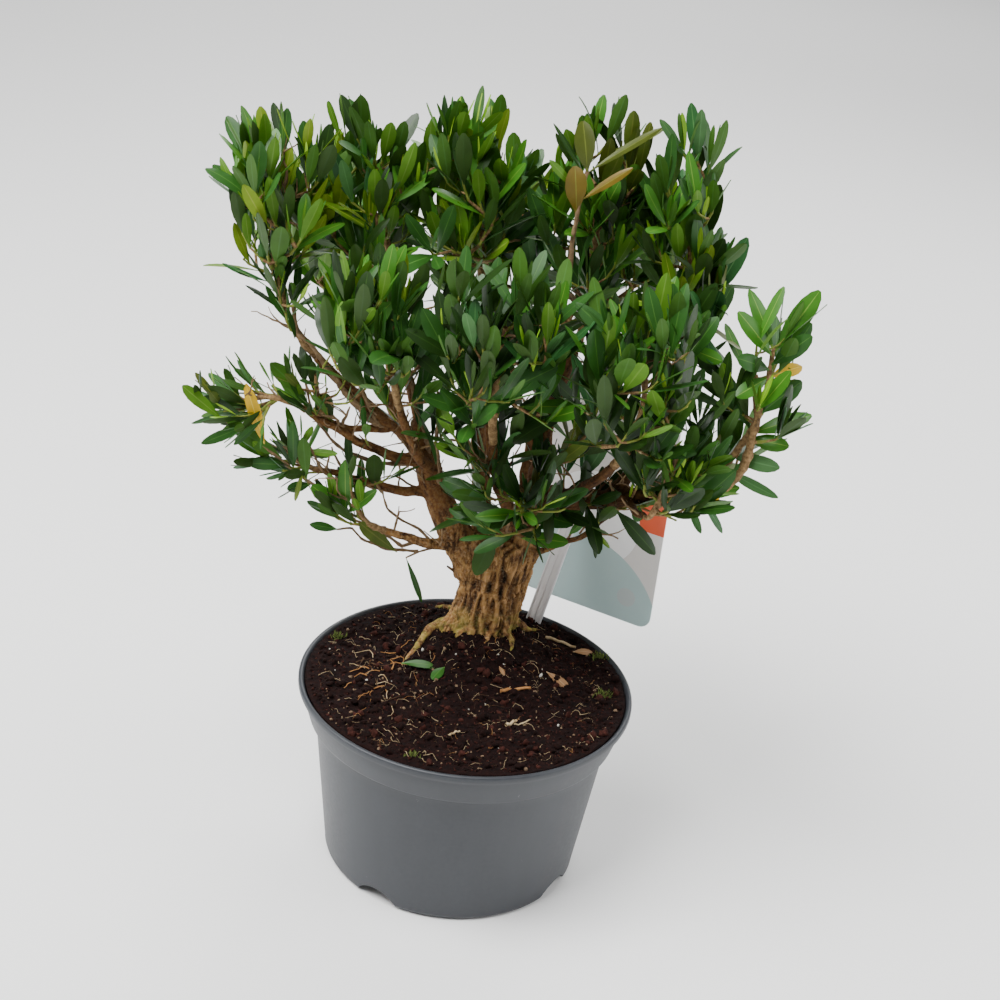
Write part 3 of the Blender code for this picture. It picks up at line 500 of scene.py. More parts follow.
def bough_line(name, count=9):
    """Centre points and radii down a bough."""
    bough = BOUGHS[name]
    start = np.array(bough.start, float)
    tip = np.array(bough.tip, float)
    points = quadratic(start, (start + tip) / 2 + np.array(bough.bow), tip, np.linspace(0, 1, count))
    return points, np.linspace(bough.base_radius, bough.tip_radius, count)


def stem_line(name, count=10):
    """The stem of a mass, from its bough's tip towards the top of its space."""
    mass = MASSES[name]
    points, radii = bough_line(mass.bough)
    heading = unit(points[-1] - points[-2])
    top = np.array(mass.centre) + UP * 0.25 * mass.reach[2]
    run = np.linalg.norm(top - points[-1])
    return (quadratic(points[-1], points[-1] + heading * run * 0.45, top, np.linspace(0, 1, count)),
            np.linspace(radii[-1], 1.1, count))


def wander(points, size, seed):
    """Bend a line a little, as wood grows, leaving its ends in place."""
    moved = np.array(points)
    last = len(points) - 1
    for k in range(1, last):
        spot = Vector(points[k]) / 14 + Vector((seed * 3.1, seed * 1.7, 0))
        moved[k] += np.array(noise.noise_vector(spot)) * size * min(k, last - k, 2) / 2
    return moved


def wood_lines():
    """Every limb and stem as name, points and radii, bent and knotted a little as old wood is."""
    lines = []
    for number, name in enumerate(BOUGHS):
        points, radii = bough_line(name, 13)
        points = wander(points, 2.2, number)
        start = points[0] - unit(points[1] - points[0]) * 3
        knots = np.array([1 + 0.13 * noise.noise(Vector(p) / 6 + Vector((0, 0, number))) for p in points])
        radii = radii * knots
        radii[:3] *= (1.3, 1.14, 1.05)
        lines.append((name, np.vstack([start, points]), np.append(radii[0] * 1.05, radii)))
    for number, name in enumerate(MASSES):
        points, radii = stem_line(name)
        lines.append((name, wander(points, 1.6, number + 40), radii))
    return lines


def trunk_mesh():
    """Corners and faces of the trunk before its bark, with root flares and a low dome at the fork."""
    heights = [(1.0, k / TRUNK_RINGS) for k in range(TRUNK_RINGS + 1)] + [(0.90, 1.07), (0.55, 1.12)]
    angles = 2 * math.pi * np.arange(TRUNK_SIDES) / TRUNK_SIDES
    rows = []
    for narrowing, share in heights:
        centre = trunk_point(share)
        height = TRUNK_FOOT[2] - 0.8 + (TRUNK_FORK[2] - TRUNK_FOOT[2]) * share
        ridge = 1 + TRUNK_RIDGE_DEPTH * np.cos(TRUNK_RIDGES * angles + TRUNK_TWIST * share)
        radius = narrowing * trunk_radius(min(share, 1.0)) * ridge
        for bearing, spread, sharpness in ROOT_FLARES:
            turn = np.cos(angles - math.radians(bearing)) - 1
            radius += spread * np.exp(sharpness * turn * 2 - max(height - SOIL_TOP - MOUND, 0) / FLARE_HEIGHT)
        rows.append(np.stack([centre[0] + radius * np.cos(angles),
                              centre[1] + radius * np.sin(angles) * TRUNK_DEPTH_SHARE,
                              np.full(TRUNK_SIDES, height)], -1))
    return np.concatenate(rows), skin(len(rows), TRUNK_SIDES)


# Roots that run out over the soil: points on its top, and radius at each end.
ROOTS = (
    (((-9, 50), (-17, 46), (-22, 40), (-26, 30), (-29, 22), (-34, 9)), 4.2, 0.9),
    (((-4, 44), (-6, 38), (-9, 32)), 3.2, 0.9),
    (((16, 46), (19, 41), (21, 36), (21, 30)), 3.4, 0.9),
    (((8, 40), (9, 34), (7, 29)), 3.0, 0.8),
    (((22, 55), (29, 54), (36, 58)), 3.2, 0.8),
    (((-8, 62), (-16, 66), (-22, 72)), 3.4, 0.8),
    (((8, 66), (10, 71)), 3.2, 1.2),
)


def bark_relief(points, lines):
    """How far the bark stands out at each point, and how deep its cracks are, in millimetres."""
    best = np.full(len(points), 1e9)
    across = np.zeros((len(points), 3))
    thick = np.ones(len(points))
    for start, end, radius, side, other, along in lines:
        run = end - start
        share = np.clip((points - start) @ run / (run @ run), 0, 1)
        away = points - (start + share[:, None] * run)
        gap = np.linalg.norm(away, axis=1) / radius
        near = gap < best
        best[near] = gap[near]
        length = along + share * np.linalg.norm(run)
        local = np.stack([away @ side, away @ other, length], -1)
        across[near] = local[near]
        thick[near] = radius
    relief = np.zeros(len(points))
    crack = np.zeros(len(points))
    for k, (x, y, z) in enumerate(across):
        size = thick[k]
        heavy = min(max((size - 3) / 11, 0.0), 1.0) * (1 - 0.45 * min(max((4 - points[k][0]) / 12, 0.0), 1.0))
        warp = 3.6 * noise.noise(Vector((x / 7, y / 7, z / 13)))
        ridge = 1 - 2.2 * abs(noise.noise(Vector(((x + warp) / 4.1, (y + warp) / 4.1, z / 27))))
        ridge = max(ridge, -0.1)
        fine = 1 - 2 * abs(noise.noise(Vector((x / 1.6 + 9, y / 1.6, (z + warp) / 9))))
        flake = (2.2 * noise.noise(Vector(((x + warp) / 6 + 5, (y - warp) / 6, z / 20))) + 0.02 * z) % 1.0
        grain = noise.noise(Vector((x / 0.9, y / 0.9, z / 2.2 + 3)))
        relief[k] = (heavy * (1.9 * (ridge - 0.62) + 1.2 * (flake - 0.5)) + (0.2 + 0.35 * heavy) * (fine - 0.6)
                     + (0.12 + 0.1 * heavy) * grain)
        crack[k] = (heavy * (0.5 * ridge + 0.26 * fine + 0.34 * flake)
                    + (1 - heavy) * (0.3 + 0.36 * fine + 0.3 * grain))
    return relief, crack


def stretches(points, radii):
    """Each stretch of a limb: its ends, its radius, two ways across it and the length before it."""
    return list(zip(points, points[1:], radii, *side_ways(points), travelled(points)))


def bark_surface():
    """Flaking bark: tan plates, darker cracks that are partly painted shade, orange-brown young limbs, one side in
    painted shade, and green growth near the soil.
    """
    made, tree, inputs = finish("boxwood_bark", 0.86, Specular_IOR_Level=0.25)
    place = node(tree, "TexCoord", out="Object")
    across, height = (node(tree, "SeparateXYZ", {"Vector": place}, axis) for axis in "XZ")
    # The height of the bark's relief sets its tone. The fissures are darker, down to near black, partly the bark's own
    # colour and partly painted shade; the crests are pale tan.
    crack_tone_and_shade = node(tree, "Attribute", out="Fac", attribute_name="crack")
    plates = node(tree, "ValToRGB", {"Fac": crack_tone_and_shade}, stops=(
        (0.04, "22170d"), (0.24, "5c4026"), (0.5, "926b40"), (0.78, "bf985e"), (1.0, "dfc08a")))
    seams = node(tree, "ValToRGB", {"Fac": spots(tree, 3.4, 6, (1, 1, 0.16), 0.7)},
                 stops=((0.4, "7c7268"), (0.52, "ffffff")))
    speckle = spots(tree, 1.3, 4)
    # Shares of pale flecks, old bark, the shaded side, the foot of the trunk, and growth on it.
    pale, old, shaded, low, growth = (
        node(tree, "MapRange", {"Value": value, "From Min": first, "From Max": last, "To Max": most})
        for value, first, last, most in ((speckle, 0.45, 0.8, 0.5), (height, 0.182, 0.16, 1),
                                         (across, 0.008, 0.022, 0.8), (height, 0.122, 0.104, 1),
                                         (spots(tree, 6, 4), 0.44, 0.62, 0.72)))
    grown = node(tree, "Math", {0: low, 1: growth}, operation="MULTIPLY")
    warm, green, weathered = (
        node(tree, "Mix", {SHARE: share, UNDER: first, OVER: second}, **PAINT)
        for share, first, second in ((spots(tree, 11, 3, (1, 1, 0.5)), "785230", "96805a"),
                                     (speckle, "6c6a22", "a9a24e"), (old, "b4a89c", seams)))
    base = plates
    for share, colour, blend in ((0.38, warm, "OVERLAY"), (pale, "c5ad86", "MIX"), (1.0, weathered, "MULTIPLY"),
                                 (shaded, "bab4ae", "MULTIPLY"), (grown, green, "MIX")):
        base = node(tree, "Mix", {SHARE: share, UNDER: base, OVER: colour}, blend_type=blend, **PAINT)
    joined(tree, inputs, Base_Color=base,
           Normal=node(tree, "Bump", {"Height": spots(tree, 0.7, 5), "Distance": 0.25 * MM, "Strength": 0.7}))
    return made


def trunk_and_boughs(lines):
    """One skin over the trunk, its roots and every limb, carved with the relief of the bark."""
    limbs = [(points, radii, LIMB_SIDES) for name, points, radii in lines]
    for path, thick, thin in ROOTS:
        count = len(path)
        radii = thick + (thin - thick) * np.linspace(0, 1, count) ** 0.7
        rise = np.array([soil_height(x, y) for x, y in path]) + radii * np.linspace(0.5, -0.3, count)
        fine = np.linspace(0, count - 1, 4 * count)
        points = wander(at(np.column_stack([path, rise]), range(count), fine), 1.4, thick)
        radii = np.interp(fine, range(count), radii) * [1 + 0.4 * noise.noise(Vector(p) / 3.5) for p in points]
        limbs.append((points, radii, ROOT_SIDES))
    shares = np.linspace(0, 1, 7)
    wooden = stretches(np.array([trunk_point(t) for t in shares]), [trunk_radius(t) for t in shares])
    tubes = [(*trunk_mesh(), TRUNK_SIDES)] + [(*loft(*limb), limb[2]) for limb in limbs]
    for points, radii, sides in limbs:
        wooden += stretches(points, radii)
    corners, faces = [], []
    for points, quads, sides in tubes:
        faces += [[len(corners) + k for k in face] for face in closed(points, quads, sides)]
        corners += points.tolist()
    wood = solid("trunk_and_boughs", corners, faces)
    cover = wood.modifiers.new("cover", "REMESH")
    cover.mode = "VOXEL"
    cover.voxel_size = BARK_VOXEL * MM
    ease = wood.modifiers.new("ease", "SMOOTH")
    ease.factor = 0.5
    ease.iterations = 3
    apply_modifiers(wood)
    mesh = wood.data
    points, normals = np.empty((2, len(mesh.vertices) * 3))
    mesh.vertices.foreach_get("co", points)
    mesh.vertex_normals.foreach_get("vector", normals)
    points, normals = points.reshape(-1, 3) / MM, normals.reshape(-1, 3)
    relief, crack = bark_relief(points, wooden)
    mesh.vertices.foreach_set("co", ((points + normals * relief[:, None]) * MM).ravel())
    mesh.attributes.new("crack", "FLOAT", "POINT").data.foreach_set("value", crack.astype(np.float32))
    mesh.update()
    dressed(wood, [bark_surface()], replaces=("trunk", *BOUGHS))


def soil_height(x, y):
    """Height of the soil at a place: lumpy, raised round the trunk and sunk towards the rim."""
    lump = noise.fractal(Vector((x / 11, y / 11, 0.3)), 0.8, 2.0, 5)
    fine = noise.noise(Vector((x / 1.8, y / 1.8, 4.1)))
    coarse = noise.noise(Vector((x / 4.2, y / 4.2, 7.7)))
    edge = min(max((math.hypot(x, y) - 66) / 14, 0.0), 1.0)
    mound = MOUND * math.exp(-((x - 2) ** 2 + (y - 48) ** 2) / 1250) * (1 - 0.9 * edge)
    return SOIL_TOP + 1.0 + (1 - 0.4 * edge) * (lump + 1.3 * coarse + 1.1 * fine) + mound + 1.4 * edge


def grained(name, roughness, dark, light, size, relief=0.3, detail=4.0):
    """A matt natural surface that wavers between two tones, with a relief in millimetres of its own."""
    made, tree, inputs = finish(name, roughness, Specular_IOR_Level=0.15)
    share = node(tree, "MapRange", {"Value": spots(tree, size, detail), "From Min": 0.3, "From Max": 0.7})
    height = spots(tree, size / 4, 4)
    joined(tree, inputs, Base_Color=node(tree, "Mix", {SHARE: share, UNDER: dark, OVER: light}, **PAINT),
           Normal=node(tree, "Bump", {"Height": height, "Distance": relief * MM, "Strength": 0.8}))
    return made


def soil_bed():
    """The soil's top, a lumpy bed squeezed from a square grid onto the pot's mouth, with sides to its floor."""
    count = SOIL_STEPS
    steps = np.linspace(-1, 1, count + 1)
    corners = []
    for v in steps:
        for u in steps:
            reach, turn = (u, v / u * math.pi / 4) if abs(u) > abs(v) else (v, math.pi / 2 - u / (v or 1) * math.pi / 4)
            x, y = reach * SOIL_RADIUS * math.cos(turn), reach * SOIL_RADIUS * math.sin(turn)
            corners.append((x, y, soil_height(x, y)))
    row = count + 1
    cells = (np.arange(count)[:, None] * row + np.arange(count)[None, :]).ravel()
    faces = [np.stack([cells, cells + 1, cells + 1 + row, cells + row], -1)]
    rim = list(range(count)) + [k * row + count for k in range(count)]
    rim += [count * row + k for k in range(count, 0, -1)] + [k * row for k in range(count, 0, -1)]
    upper = np.array(rim)
    for radius, height in ((76.6, 85.5), (73.1, 79.5), (63.0, 7.5), (60.5, 3.6), (1.0, 3.6)):
        lower = len(corners) + np.arange(len(rim))
        corners += [(corners[k][0] / SOIL_RADIUS * radius, corners[k][1] / SOIL_RADIUS * radius, height) for k in rim]
        faces.append(np.stack([np.roll(upper, -1), upper, lower, np.roll(lower, -1)], -1))
        upper = lower
    dressed(mesh_object("soil_bed", corners, np.concatenate(faces)),
            [grained("moist_peat", 0.9, "040000", "1c0704", 2.6, 0.5, 6)], replaces=("soil",))


def ball(level):
    """Corners and triangles of a round form."""
    shape = bmesh.new()
    bmesh.ops.create_icosphere(shape, subdivisions=level, radius=1.0)
    corners = np.array([v.co for v in shape.verts])
    faces = np.array([[v.index for v in face.verts] for face in shape.faces])
    shape.free()
    return corners, faces


def soil_crumbs(dice):
    """Crumbs of peat, bark and grit on the bed, with perlite and pale chips."""
    coarse, fine = ball(1), ball(2)
    crumbs = Bundle()

    def crumb(x, y, size, slot):
        corners, faces = fine if size > 1.6 else coarse
        turn = np.array(Matrix.Rotation(dice.uniform(0, 6.3), 3, Vector(jolt(dice, 1))))
        uneven = np.array([1 + 0.9 * noise.noise(Vector(c) * 1.7 + Vector((x, y, size))) for c in corners])
        lump = corners * uneven[:, None] * np.array((1.0, dice.uniform(0.6, 1.0), dice.uniform(0.5, 0.9))) * size
        crumbs.add(lump @ turn + np.array((x, y, soil_height(x, y) + size * 0.3)), faces, slot)

    for _ in range(CRUMBS):
        radius, turn = 79.0 * math.sqrt(dice.random()), dice.uniform(0, 2 * math.pi)
        size = min(0.42 * (1 - dice.random()) ** -0.4, 2.3)
        slot = dice.choices((0, 1, 2, 3), (64, 28, 7 if size < 1.2 else 1, 0.6 if size < 0.6 else 0))[0]
        crumb(radius * math.cos(turn), radius * math.sin(turn), size, slot)
    for x, y, size in ((37.7, 13.4, 1.3), (-24.5, 22.5, 1.1), (14.8, 23.3, 0.6), (18.3, 17, 0.7), (48, -28, 0.9),
                       (-50, -8, 0.8), (2, 5, 0.6)):
        crumb(x, y, size, 3)
    tones = [grained("peat_crumb_dark", 0.9, "070100", "1e0a06", 1.6), grained("peat_crumb_brown", 0.88, "220c06",
             "40201a", 1.6), grained("bark_crumb", 0.85, "54402f", "86705a", 1.6),
             grained("perlite_grain", 0.8, "a9a498", "d9d6cc", 1.2)]
    crumbs.made("soil_crumbs", "soil", tones)


def strand(dice, x, y, heading, length, radius, wobble=0.5, lift=0.0):
    """Centre points of a root fibre that lies on the soil, and its radii."""
    count = max(5, int(length / 2.2))
    points = []
    for k in range(count):
        arch = lift * math.sin(math.pi * k / (count - 1))
        points.append((x, y, soil_height(x, y) + radius * 0.7 + arch + 0.25))
        x, y = x + math.cos(heading) * length / count, y + math.sin(heading) * length / count
        heading += dice.gauss(0, wobble)
        if math.hypot(x, y) > 77:
            heading = math.atan2(-y, -x)
    return np.array(points), np.linspace(radius, radius * 0.45, count)


def soil_fibres(dice):
    """Root fibres, a broken stick, a bare twig and moss on the soil."""
    litter = Bundle()

    def lay(points, radii, slot, sides=5):
        litter.add(*loft(points, radii, sides), slot)

    for _ in range(FIBRES):
        radius, turn = 77.0 * math.sqrt(dice.random()), dice.uniform(0, 2 * math.pi)
        lay(*strand(dice, radius * math.cos(turn), radius * math.sin(turn), dice.uniform(0, 6.3),
                    dice.uniform(2, 11), dice.uniform(0.06, 0.15), lift=dice.choice((0, 0, 0.8, 1.8))),
            dice.choices((0, 1, 2), (5, 1, 4))[0], 4)
    for x, y in ((-53, 13), (-40, 8), (-43, -14), (-39, -22), (-47, 2), (-36, 16), (-50, -6)):
        for _ in range(4):
            lay(*strand(dice, x + dice.gauss(0, 3), y + dice.gauss(0, 3), dice.uniform(0, 6.3),
                        dice.uniform(7, 16), dice.uniform(0.18, 0.42), 0.45, dice.uniform(0, 2)),
                dice.choice((0, 1, 1, 2)))
    for start, end, radius, slot in (((17.8, -4.5), (33, 0.7), 1.0, 1), ((39.3, 51.6), (55.6, 45.8), 0.9, 0),
                                     ((-6, -52), (0, -45), 0.6, 0), ((22, -36), (27, -30), 0.9, 0),
                                     ((26, -33), (34, -27), 0.4, 0)):
        points = np.array([(x, y, soil_height(x, y) + radius * 0.8 + 0.5)
                           for x, y in np.linspace(start, end, 8)])
        lay(wander(points, 0.9, radius), np.linspace(radius, radius * 0.75, 8), slot, 7)
    for x, y, count in ((68, 39.3, 60), (70.5, 4.1, 45), (-70, 30, 40), (-20, -70, 30)):
        for _ in range(count):
            foot_x, foot_y = x + dice.gauss(0, 1.8), y + dice.gauss(0, 1.8)
            foot = np.array((foot_x, foot_y, soil_height(foot_x, foot_y) - 0.3))
            tip = foot + np.array((dice.gauss(0, 0.9), dice.gauss(0, 0.9), dice.uniform(1.2, 3.2)))
            lay(np.linspace(foot, tip, 3), (0.34, 0.28, 0.06), 3, 3)
    tones = [grained("root_fibre_tan", 0.8, "927b58", "c9b592", 3), grained("root_fibre_orange", 0.8, "7c522c",
             "b08050", 3), grained("root_fibre_dark", 0.85, "2c1e15", "5b4430", 3),
             grained("moss", 0.85, "3c4a20", "6e7c3e", 1.5)]
    litter.made("soil_fibres", "soil", tones)


def leaf_materials(kind):
    """Waxy upper side, matt underside and paler midrib of one kind of leaf."""
    made = []
    for side, code, roughness in zip(("upper", "under", "midrib"), LEAF_COLOURS[kind], (0.38, 0.58, 0.48)):
        material, tree, inputs = finish(f"boxwood_leaf_{kind}_{side}", roughness, Specular_IOR_Level=0.32)
        dark, light = (tuple(c * share for c in rgb(code)[:3]) + (1.0,) for share in (0.72, 1.28))
        colour = node(tree, "Mix", {SHARE: spots(tree, 7, 3), UNDER: dark, OVER: light}, **PAINT)
        relief = node(tree, "Bump", {"Height": spots(tree, 0.9, 3), "Distance": 0.05 * MM, "Strength": 0.6})
        joined(tree, inputs, Base_Color=colour, Normal=relief)
        made.append(material)
    return made


def leaf_blades(leaves):
    """Corners and faces of many leaves at once: six corners across the upper side and four below."""
    rows = np.array([np.concatenate(leaf) for leaf in leaves])
    base, heading, face = rows[:, None, 0:3], rows[:, None, 3:6], rows[:, None, 6:9]
    length, width, fold, arch, curl, twist, skew = (rows[:, k, None] for k in range(9, 16))
    along = np.array([s for s, _ in LEAF_STATIONS])[None, :]
    half = np.array([w for _, w in LEAF_STATIONS])[None, :] * width / 2
    curl = np.where(np.abs(curl) < 1e-3, 1e-3, curl)
    bent = curl * along
    ahead = (np.sin(bent) / curl * length)[..., None]
    drop = ((1 - np.cos(bent)) / curl * length)[..., None]
    centre = base + heading * ahead - face * drop
    lift = face * np.cos(bent)[..., None] + heading * np.sin(bent)[..., None]
    across = np.cross(heading, face)
    half = half * (1 + skew * (1 - 2 * along))
    roll = (twist * along)[..., None]
    side = across * np.cos(roll) + lift * np.sin(roll)
    lift = lift * np.cos(roll) - across * np.sin(roll)
    columns = []
    for x, upper in [(x, True) for x in LEAF_STRIPS] + [(x, False) for x in (-1.0, -0.09, 0.09, 1.0)]:
        height = half * (fold * abs(x) - arch * x * x)
        thick = LEAF_THICKNESS * (1 - x * x)
        height = height + (thick / 2 + (0.14 if abs(x) < 0.1 else 0) if upper else -thick / 2)
        columns.append(centre + side * (half * x)[..., None] + lift * height[..., None])
    corners = np.stack(columns, 2).reshape(-1, 3)
    spans, wide = len(LEAF_STATIONS) - 1, len(columns)
    faces, slots = [], []
    for span in range(spans):
        for column in (0, 1, 2, 3, 4, 6, 7, 8):
            a, b = span * wide + column, span * wide + column + 1
            faces.append((a, b, b + wide, a + wide) if column < 6 else (b, a, a + wide, b + wide))
            slots.append(2 if column in (2, 7) or span == 0 else int(column > 5))
    leaf = np.arange(len(leaves))[:, None, None] * (spans + 1) * wide
    return corners, (np.array(faces)[None] + leaf).reshape(-1, 4), np.tile(slots, len(leaves))


def depth_in(mass, point):
    """How far out a point lies in the space of a mass: one at its skin."""
    away = (np.array(point) - np.array(mass.centre)) / np.array(mass.reach)
    return (np.abs(away) ** SPACE_POWER).sum() ** (1 / SPACE_POWER)


def shoot_targets(mass, dice):
    """Places where shoots end: the named tips, an outer spiral and an inner one; each with its leaf pairs."""
    centre, reach = np.array(mass.centre, float), np.array(mass.reach, float)
    found = [(np.array(tip) - unit(np.array(tip) - centre) * TIP_PULL, 6, "tip") for tip in mass.tips]
    for count, share, pairs in ((mass.outer, 0.97, 6), (mass.inner, INNER_SHARE, 4)):
        for k in range(count):
            level = SPIRAL_TOP - (SPIRAL_TOP - SPIRAL_FOOT) * (k + 0.5) / count
            turn = k * GOLDEN_ANGLE + (0.0 if pairs > 5 else 1.0)
            flat = math.sqrt(1 - level ** 2)
            way = np.array((flat * math.cos(turn), flat * math.sin(turn), level))
            size = (np.abs(way) ** SPACE_POWER).sum() ** (-1 / SPACE_POWER)
            spot = centre + way * size * reach * share
            if pairs > 5:
                spot -= unit(way * reach) * TIP_PULL * dice.uniform(0.75, 1.15)
                spot -= UP * (dice.uniform(0, 6) + 9 * max(level - 0.5, 0))
            spot += jolt(dice, 3.0)
            found.append((spot, pairs + dice.choice((-1, 0, 0, 1)), "outer" if pairs > 5 else "inner"))
    return [target for target in found if target[2] == "tip" or not in_notch(target[0] + UP * 8)]


def in_notch(point):
    """Whether a point lies in one of the open notches of the crown."""
    for place, radius in NOTCHES:
        away = np.asarray(point, float) - place
        along = away @ np.array(SIGHT)
        if abs(along) < NOTCH_DEPTH and np.linalg.norm(away - along * np.array(SIGHT)) < radius:
            return True
    return False


def grow(targets, wood, dice, seed, near=11.0):
    """Shoots to a list of targets as line, leaf pairs, sort and load: each joins the nearest wood below it."""
    headings = np.concatenate([unit(np.gradient(line, axis=0)) for line in wood])
    wood = np.concatenate(wood)
    owner = np.full(len(wood), -1)
    shoots = []
    for target, pairs, sort in targets:
        run = target - wood
        gap = np.linalg.norm(run, axis=1)
        forward = (run * headings).sum(1) / np.maximum(gap, 1e-6)
        cost = gap * (1.6 - 0.6 * forward) + 400 * (gap < near) + 1.2 * np.maximum(wood[:, 2] - target[2] + 6, 0)
        k = int(np.argmin(cost))
        rise = 0.16 if run[k][2] > 0 else 0.7
        middle = wood[k] + run[k] * (0.72, 0.72, rise) - UP * 0.04 * gap[k] + headings[k] * 0.06 * gap[k]
        shares = np.linspace(0, 1, max(5, int(gap[k] / 5)))
        line = wander(quadratic(wood[k], middle, target, shares), 1.3, len(shoots) + seed)
        parent = owner[k]
        while parent >= 0:
            shoots[parent]["load"] += 1
            parent = shoots[parent]["parent"]
        shoots.append({"line": line, "pairs": pairs, "sort": sort, "load": 0, "parent": int(owner[k])})
        fine = resample(line, 2.0)
        wood = np.vstack([wood, fine[1:-4]])
        headings = np.vstack([headings, unit(np.gradient(fine, axis=0))[1:-4]])
        owner = np.concatenate([owner, np.full(len(fine[1:-4]), len(shoots) - 1)])
    return shoots


def leaf(base, heading, face, length, width, dice, curl=None, fold=None):
    """One leaf as the rows that leaf_blades reads."""
    face = unit(face - heading * (face @ heading))
    curl = dice.gauss(0.16, 0.24) if curl is None else curl
    fold = dice.uniform(0.08, 0.32) if fold is None else fold
    return (base, heading, face, (length, width, fold, dice.uniform(0.05, 0.2), curl, dice.gauss(0, 0.2),
                                  dice.gauss(-0.02, 0.09)))


def leaf_kind(mass_kind, middle):
    """A shoot's own kind, unless the photo shows another colour at that place."""
    for place, reach, kind in TINTS:
        if np.linalg.norm(middle - np.array(place)) < reach:
            return kind
    return mass_kind


def clothe(mass, shoot, leaves, twigs, dice):
    """Leaf pairs down a shoot from its tip, each at right angles to the last, and the shoot's own wood."""
    line = shoot["line"]
    loose = mass.kinds is SHADED_LOW_KINDS
    small = loose and line[-1][0] < -45
    steps = travelled(line)
    length = steps[-1]
    headings = unit(np.gradient(line, axis=0))
    named = shoot["sort"] == "tip"
    # Inner shoots take the darker inner kinds: painted shade inside the crown, and older leaves.
    kinds = OLD_AND_SHADED_INNER_KINDS if shoot["sort"] == "inner" else mass.kinds
    kind = dice.choices(list(kinds), list(kinds.values()))[0]
    lively = shoot["sort"] != "inner" and (any(np.linalg.norm(line[-1] - np.array(p)) < 15 for p in FRESH_TIPS)
                                           or dice.random() < 0.08)
    foot, top = 0.58 + 0.17 * math.sqrt(shoot["load"]) + 0.003 * length, 0.42
    roll = dice.gauss(0, 0.3) if dice.random() < 0.7 else dice.uniform(0, math.pi)
    away = 0.0
    nodes = []
    for k in range(min(shoot["pairs"], len(INTERNODES))):
        away += INTERNODES[k] * dice.uniform(0.88, 1.14)
        joint = length - away
        if joint < 5:
            break
        nodes.append(joint)
        spot = at(line, steps, joint)
        axis = unit(at(headings, steps, joint) + UP * (0.2 if loose else 0.9))
        across = unit(np.cross(axis, (0.3, 0.2, 1.0) if abs(axis[2]) < 0.9 else (1.0, 0.2, 0.1)))
        other = np.cross(axis, across)
        roll += math.pi / 2 + dice.gauss(0, 0.12)
        for sign in (1, -1):
            if k > 2 and dice.random() < 0.06:
                continue
            side = (across * math.cos(roll) + other * math.sin(roll)) * sign
            angle = math.radians(PAIR_ANGLES[k] + dice.gauss(0, 6) + (8 if loose else 0))
            size = LEAF_LENGTH * PAIR_SIZES[k] * dice.uniform(0.82, 1.14) * (0.84 if small else 1)
            if named and k == 0:
                size, angle = TIP_PULL * 0.95, angle * 0.6
            rise = UP * dice.uniform(-0.1, 0.1 if loose else 0.2)
            heading = unit(axis * math.cos(angle) + side * math.sin(angle) + rise)
            tip = spot + heading * size
            outside = depth_in(mass, tip)
            if not named and outside > 1.04:
                size *= 0.9
                if outside > 1.12:
                    continue
            if in_notch(tip) or in_notch(spot + heading * size / 2):
                continue
            face = unit(axis - heading * (axis @ heading)) + jolt(dice, 0.13)
            young = k == 0 and (lively or dice.random() < 0.06)
            curl = dice.gauss(-0.05, 0.15) if k < 2 else None
            width = size * LEAF_WIDTH / LEAF_LENGTH * (dice.uniform(0.5, 0.75) if k == 0 else dice.uniform(0.8, 1.22))
            width *= 0.76 if small else 1
            sort = leaf_kind("fresh" if young else kind, spot + heading * size / 2)
            leaves.setdefault(sort, []).append(leaf(spot + side * 0.4, heading, face, size, width, dice, curl))
    marks = sorted(set([0.0, length] + [m + s for m in nodes for s in (-0.8, 0.0, 0.8)]
                       + list(np.arange(3.0, length - (away if nodes else 0), 3.6))))
    marks = [m for m in marks if 0 <= m <= length]
    radii = foot + (top - foot) * np.array(marks) / length
    knots = [any(abs(mark - joint) < 0.1 for joint in nodes) for mark in marks]
    older = [dice.uniform(0.85, 1.3) for _ in marks]
    slots = []
    for mark, after in zip(marks, marks[1:]):
        scar = any(abs((mark + after) / 2 - joint) < 0.5 for joint in nodes)
        slots += [2 if scar and mark < length - 14 else int(mark < length - 13)] * 6
    twigs.add(*loft(at(line, steps, marks), radii * np.where(knots, 1.4, older), 6), slots)


def bare_twigs(twigs, lines, dice):
    """Thin knotted twigs without leaves on the older wood, most of them forked."""
    def twig(start, heading, length, radius):
        points = [start]
        for _ in range(max(4, int(length / 3))):
            heading = unit(heading + jolt(dice, 0.2) + UP * 0.05)
            points.append(points[-1] + heading * 3)
        radii = np.linspace(radius, radius * 0.5, len(points)) * [dice.uniform(0.8, 1.3) for _ in points]
        twigs.add(*loft(points, radii, 5), 3)
        return points

    for _, points, _ in lines:
        path = resample(points, 3.0)
        for k in range(4, len(path) - 2):
            if dice.random() > (0.42 if path[k][0] < -25 and path[k][2] < 255 else 0.2):
                continue
            along = unit(path[k + 1] - path[k])
            out = unit(np.cross(along, unit(jolt(dice, 1))))
            out[2] = max(out[2], -0.3)
            heading = unit(out + UP * 0.5 + along * 0.4)
            grown = twig(path[k], heading, dice.uniform(8, 28), dice.uniform(0.5, 0.95))
            for _ in range(dice.choice((0, 1, 2))):
                fork = unit(heading + unit(jolt(dice, 1)) * 0.9)
                twig(dice.choice(grown[1:]), fork, dice.uniform(5, 14), 0.42)


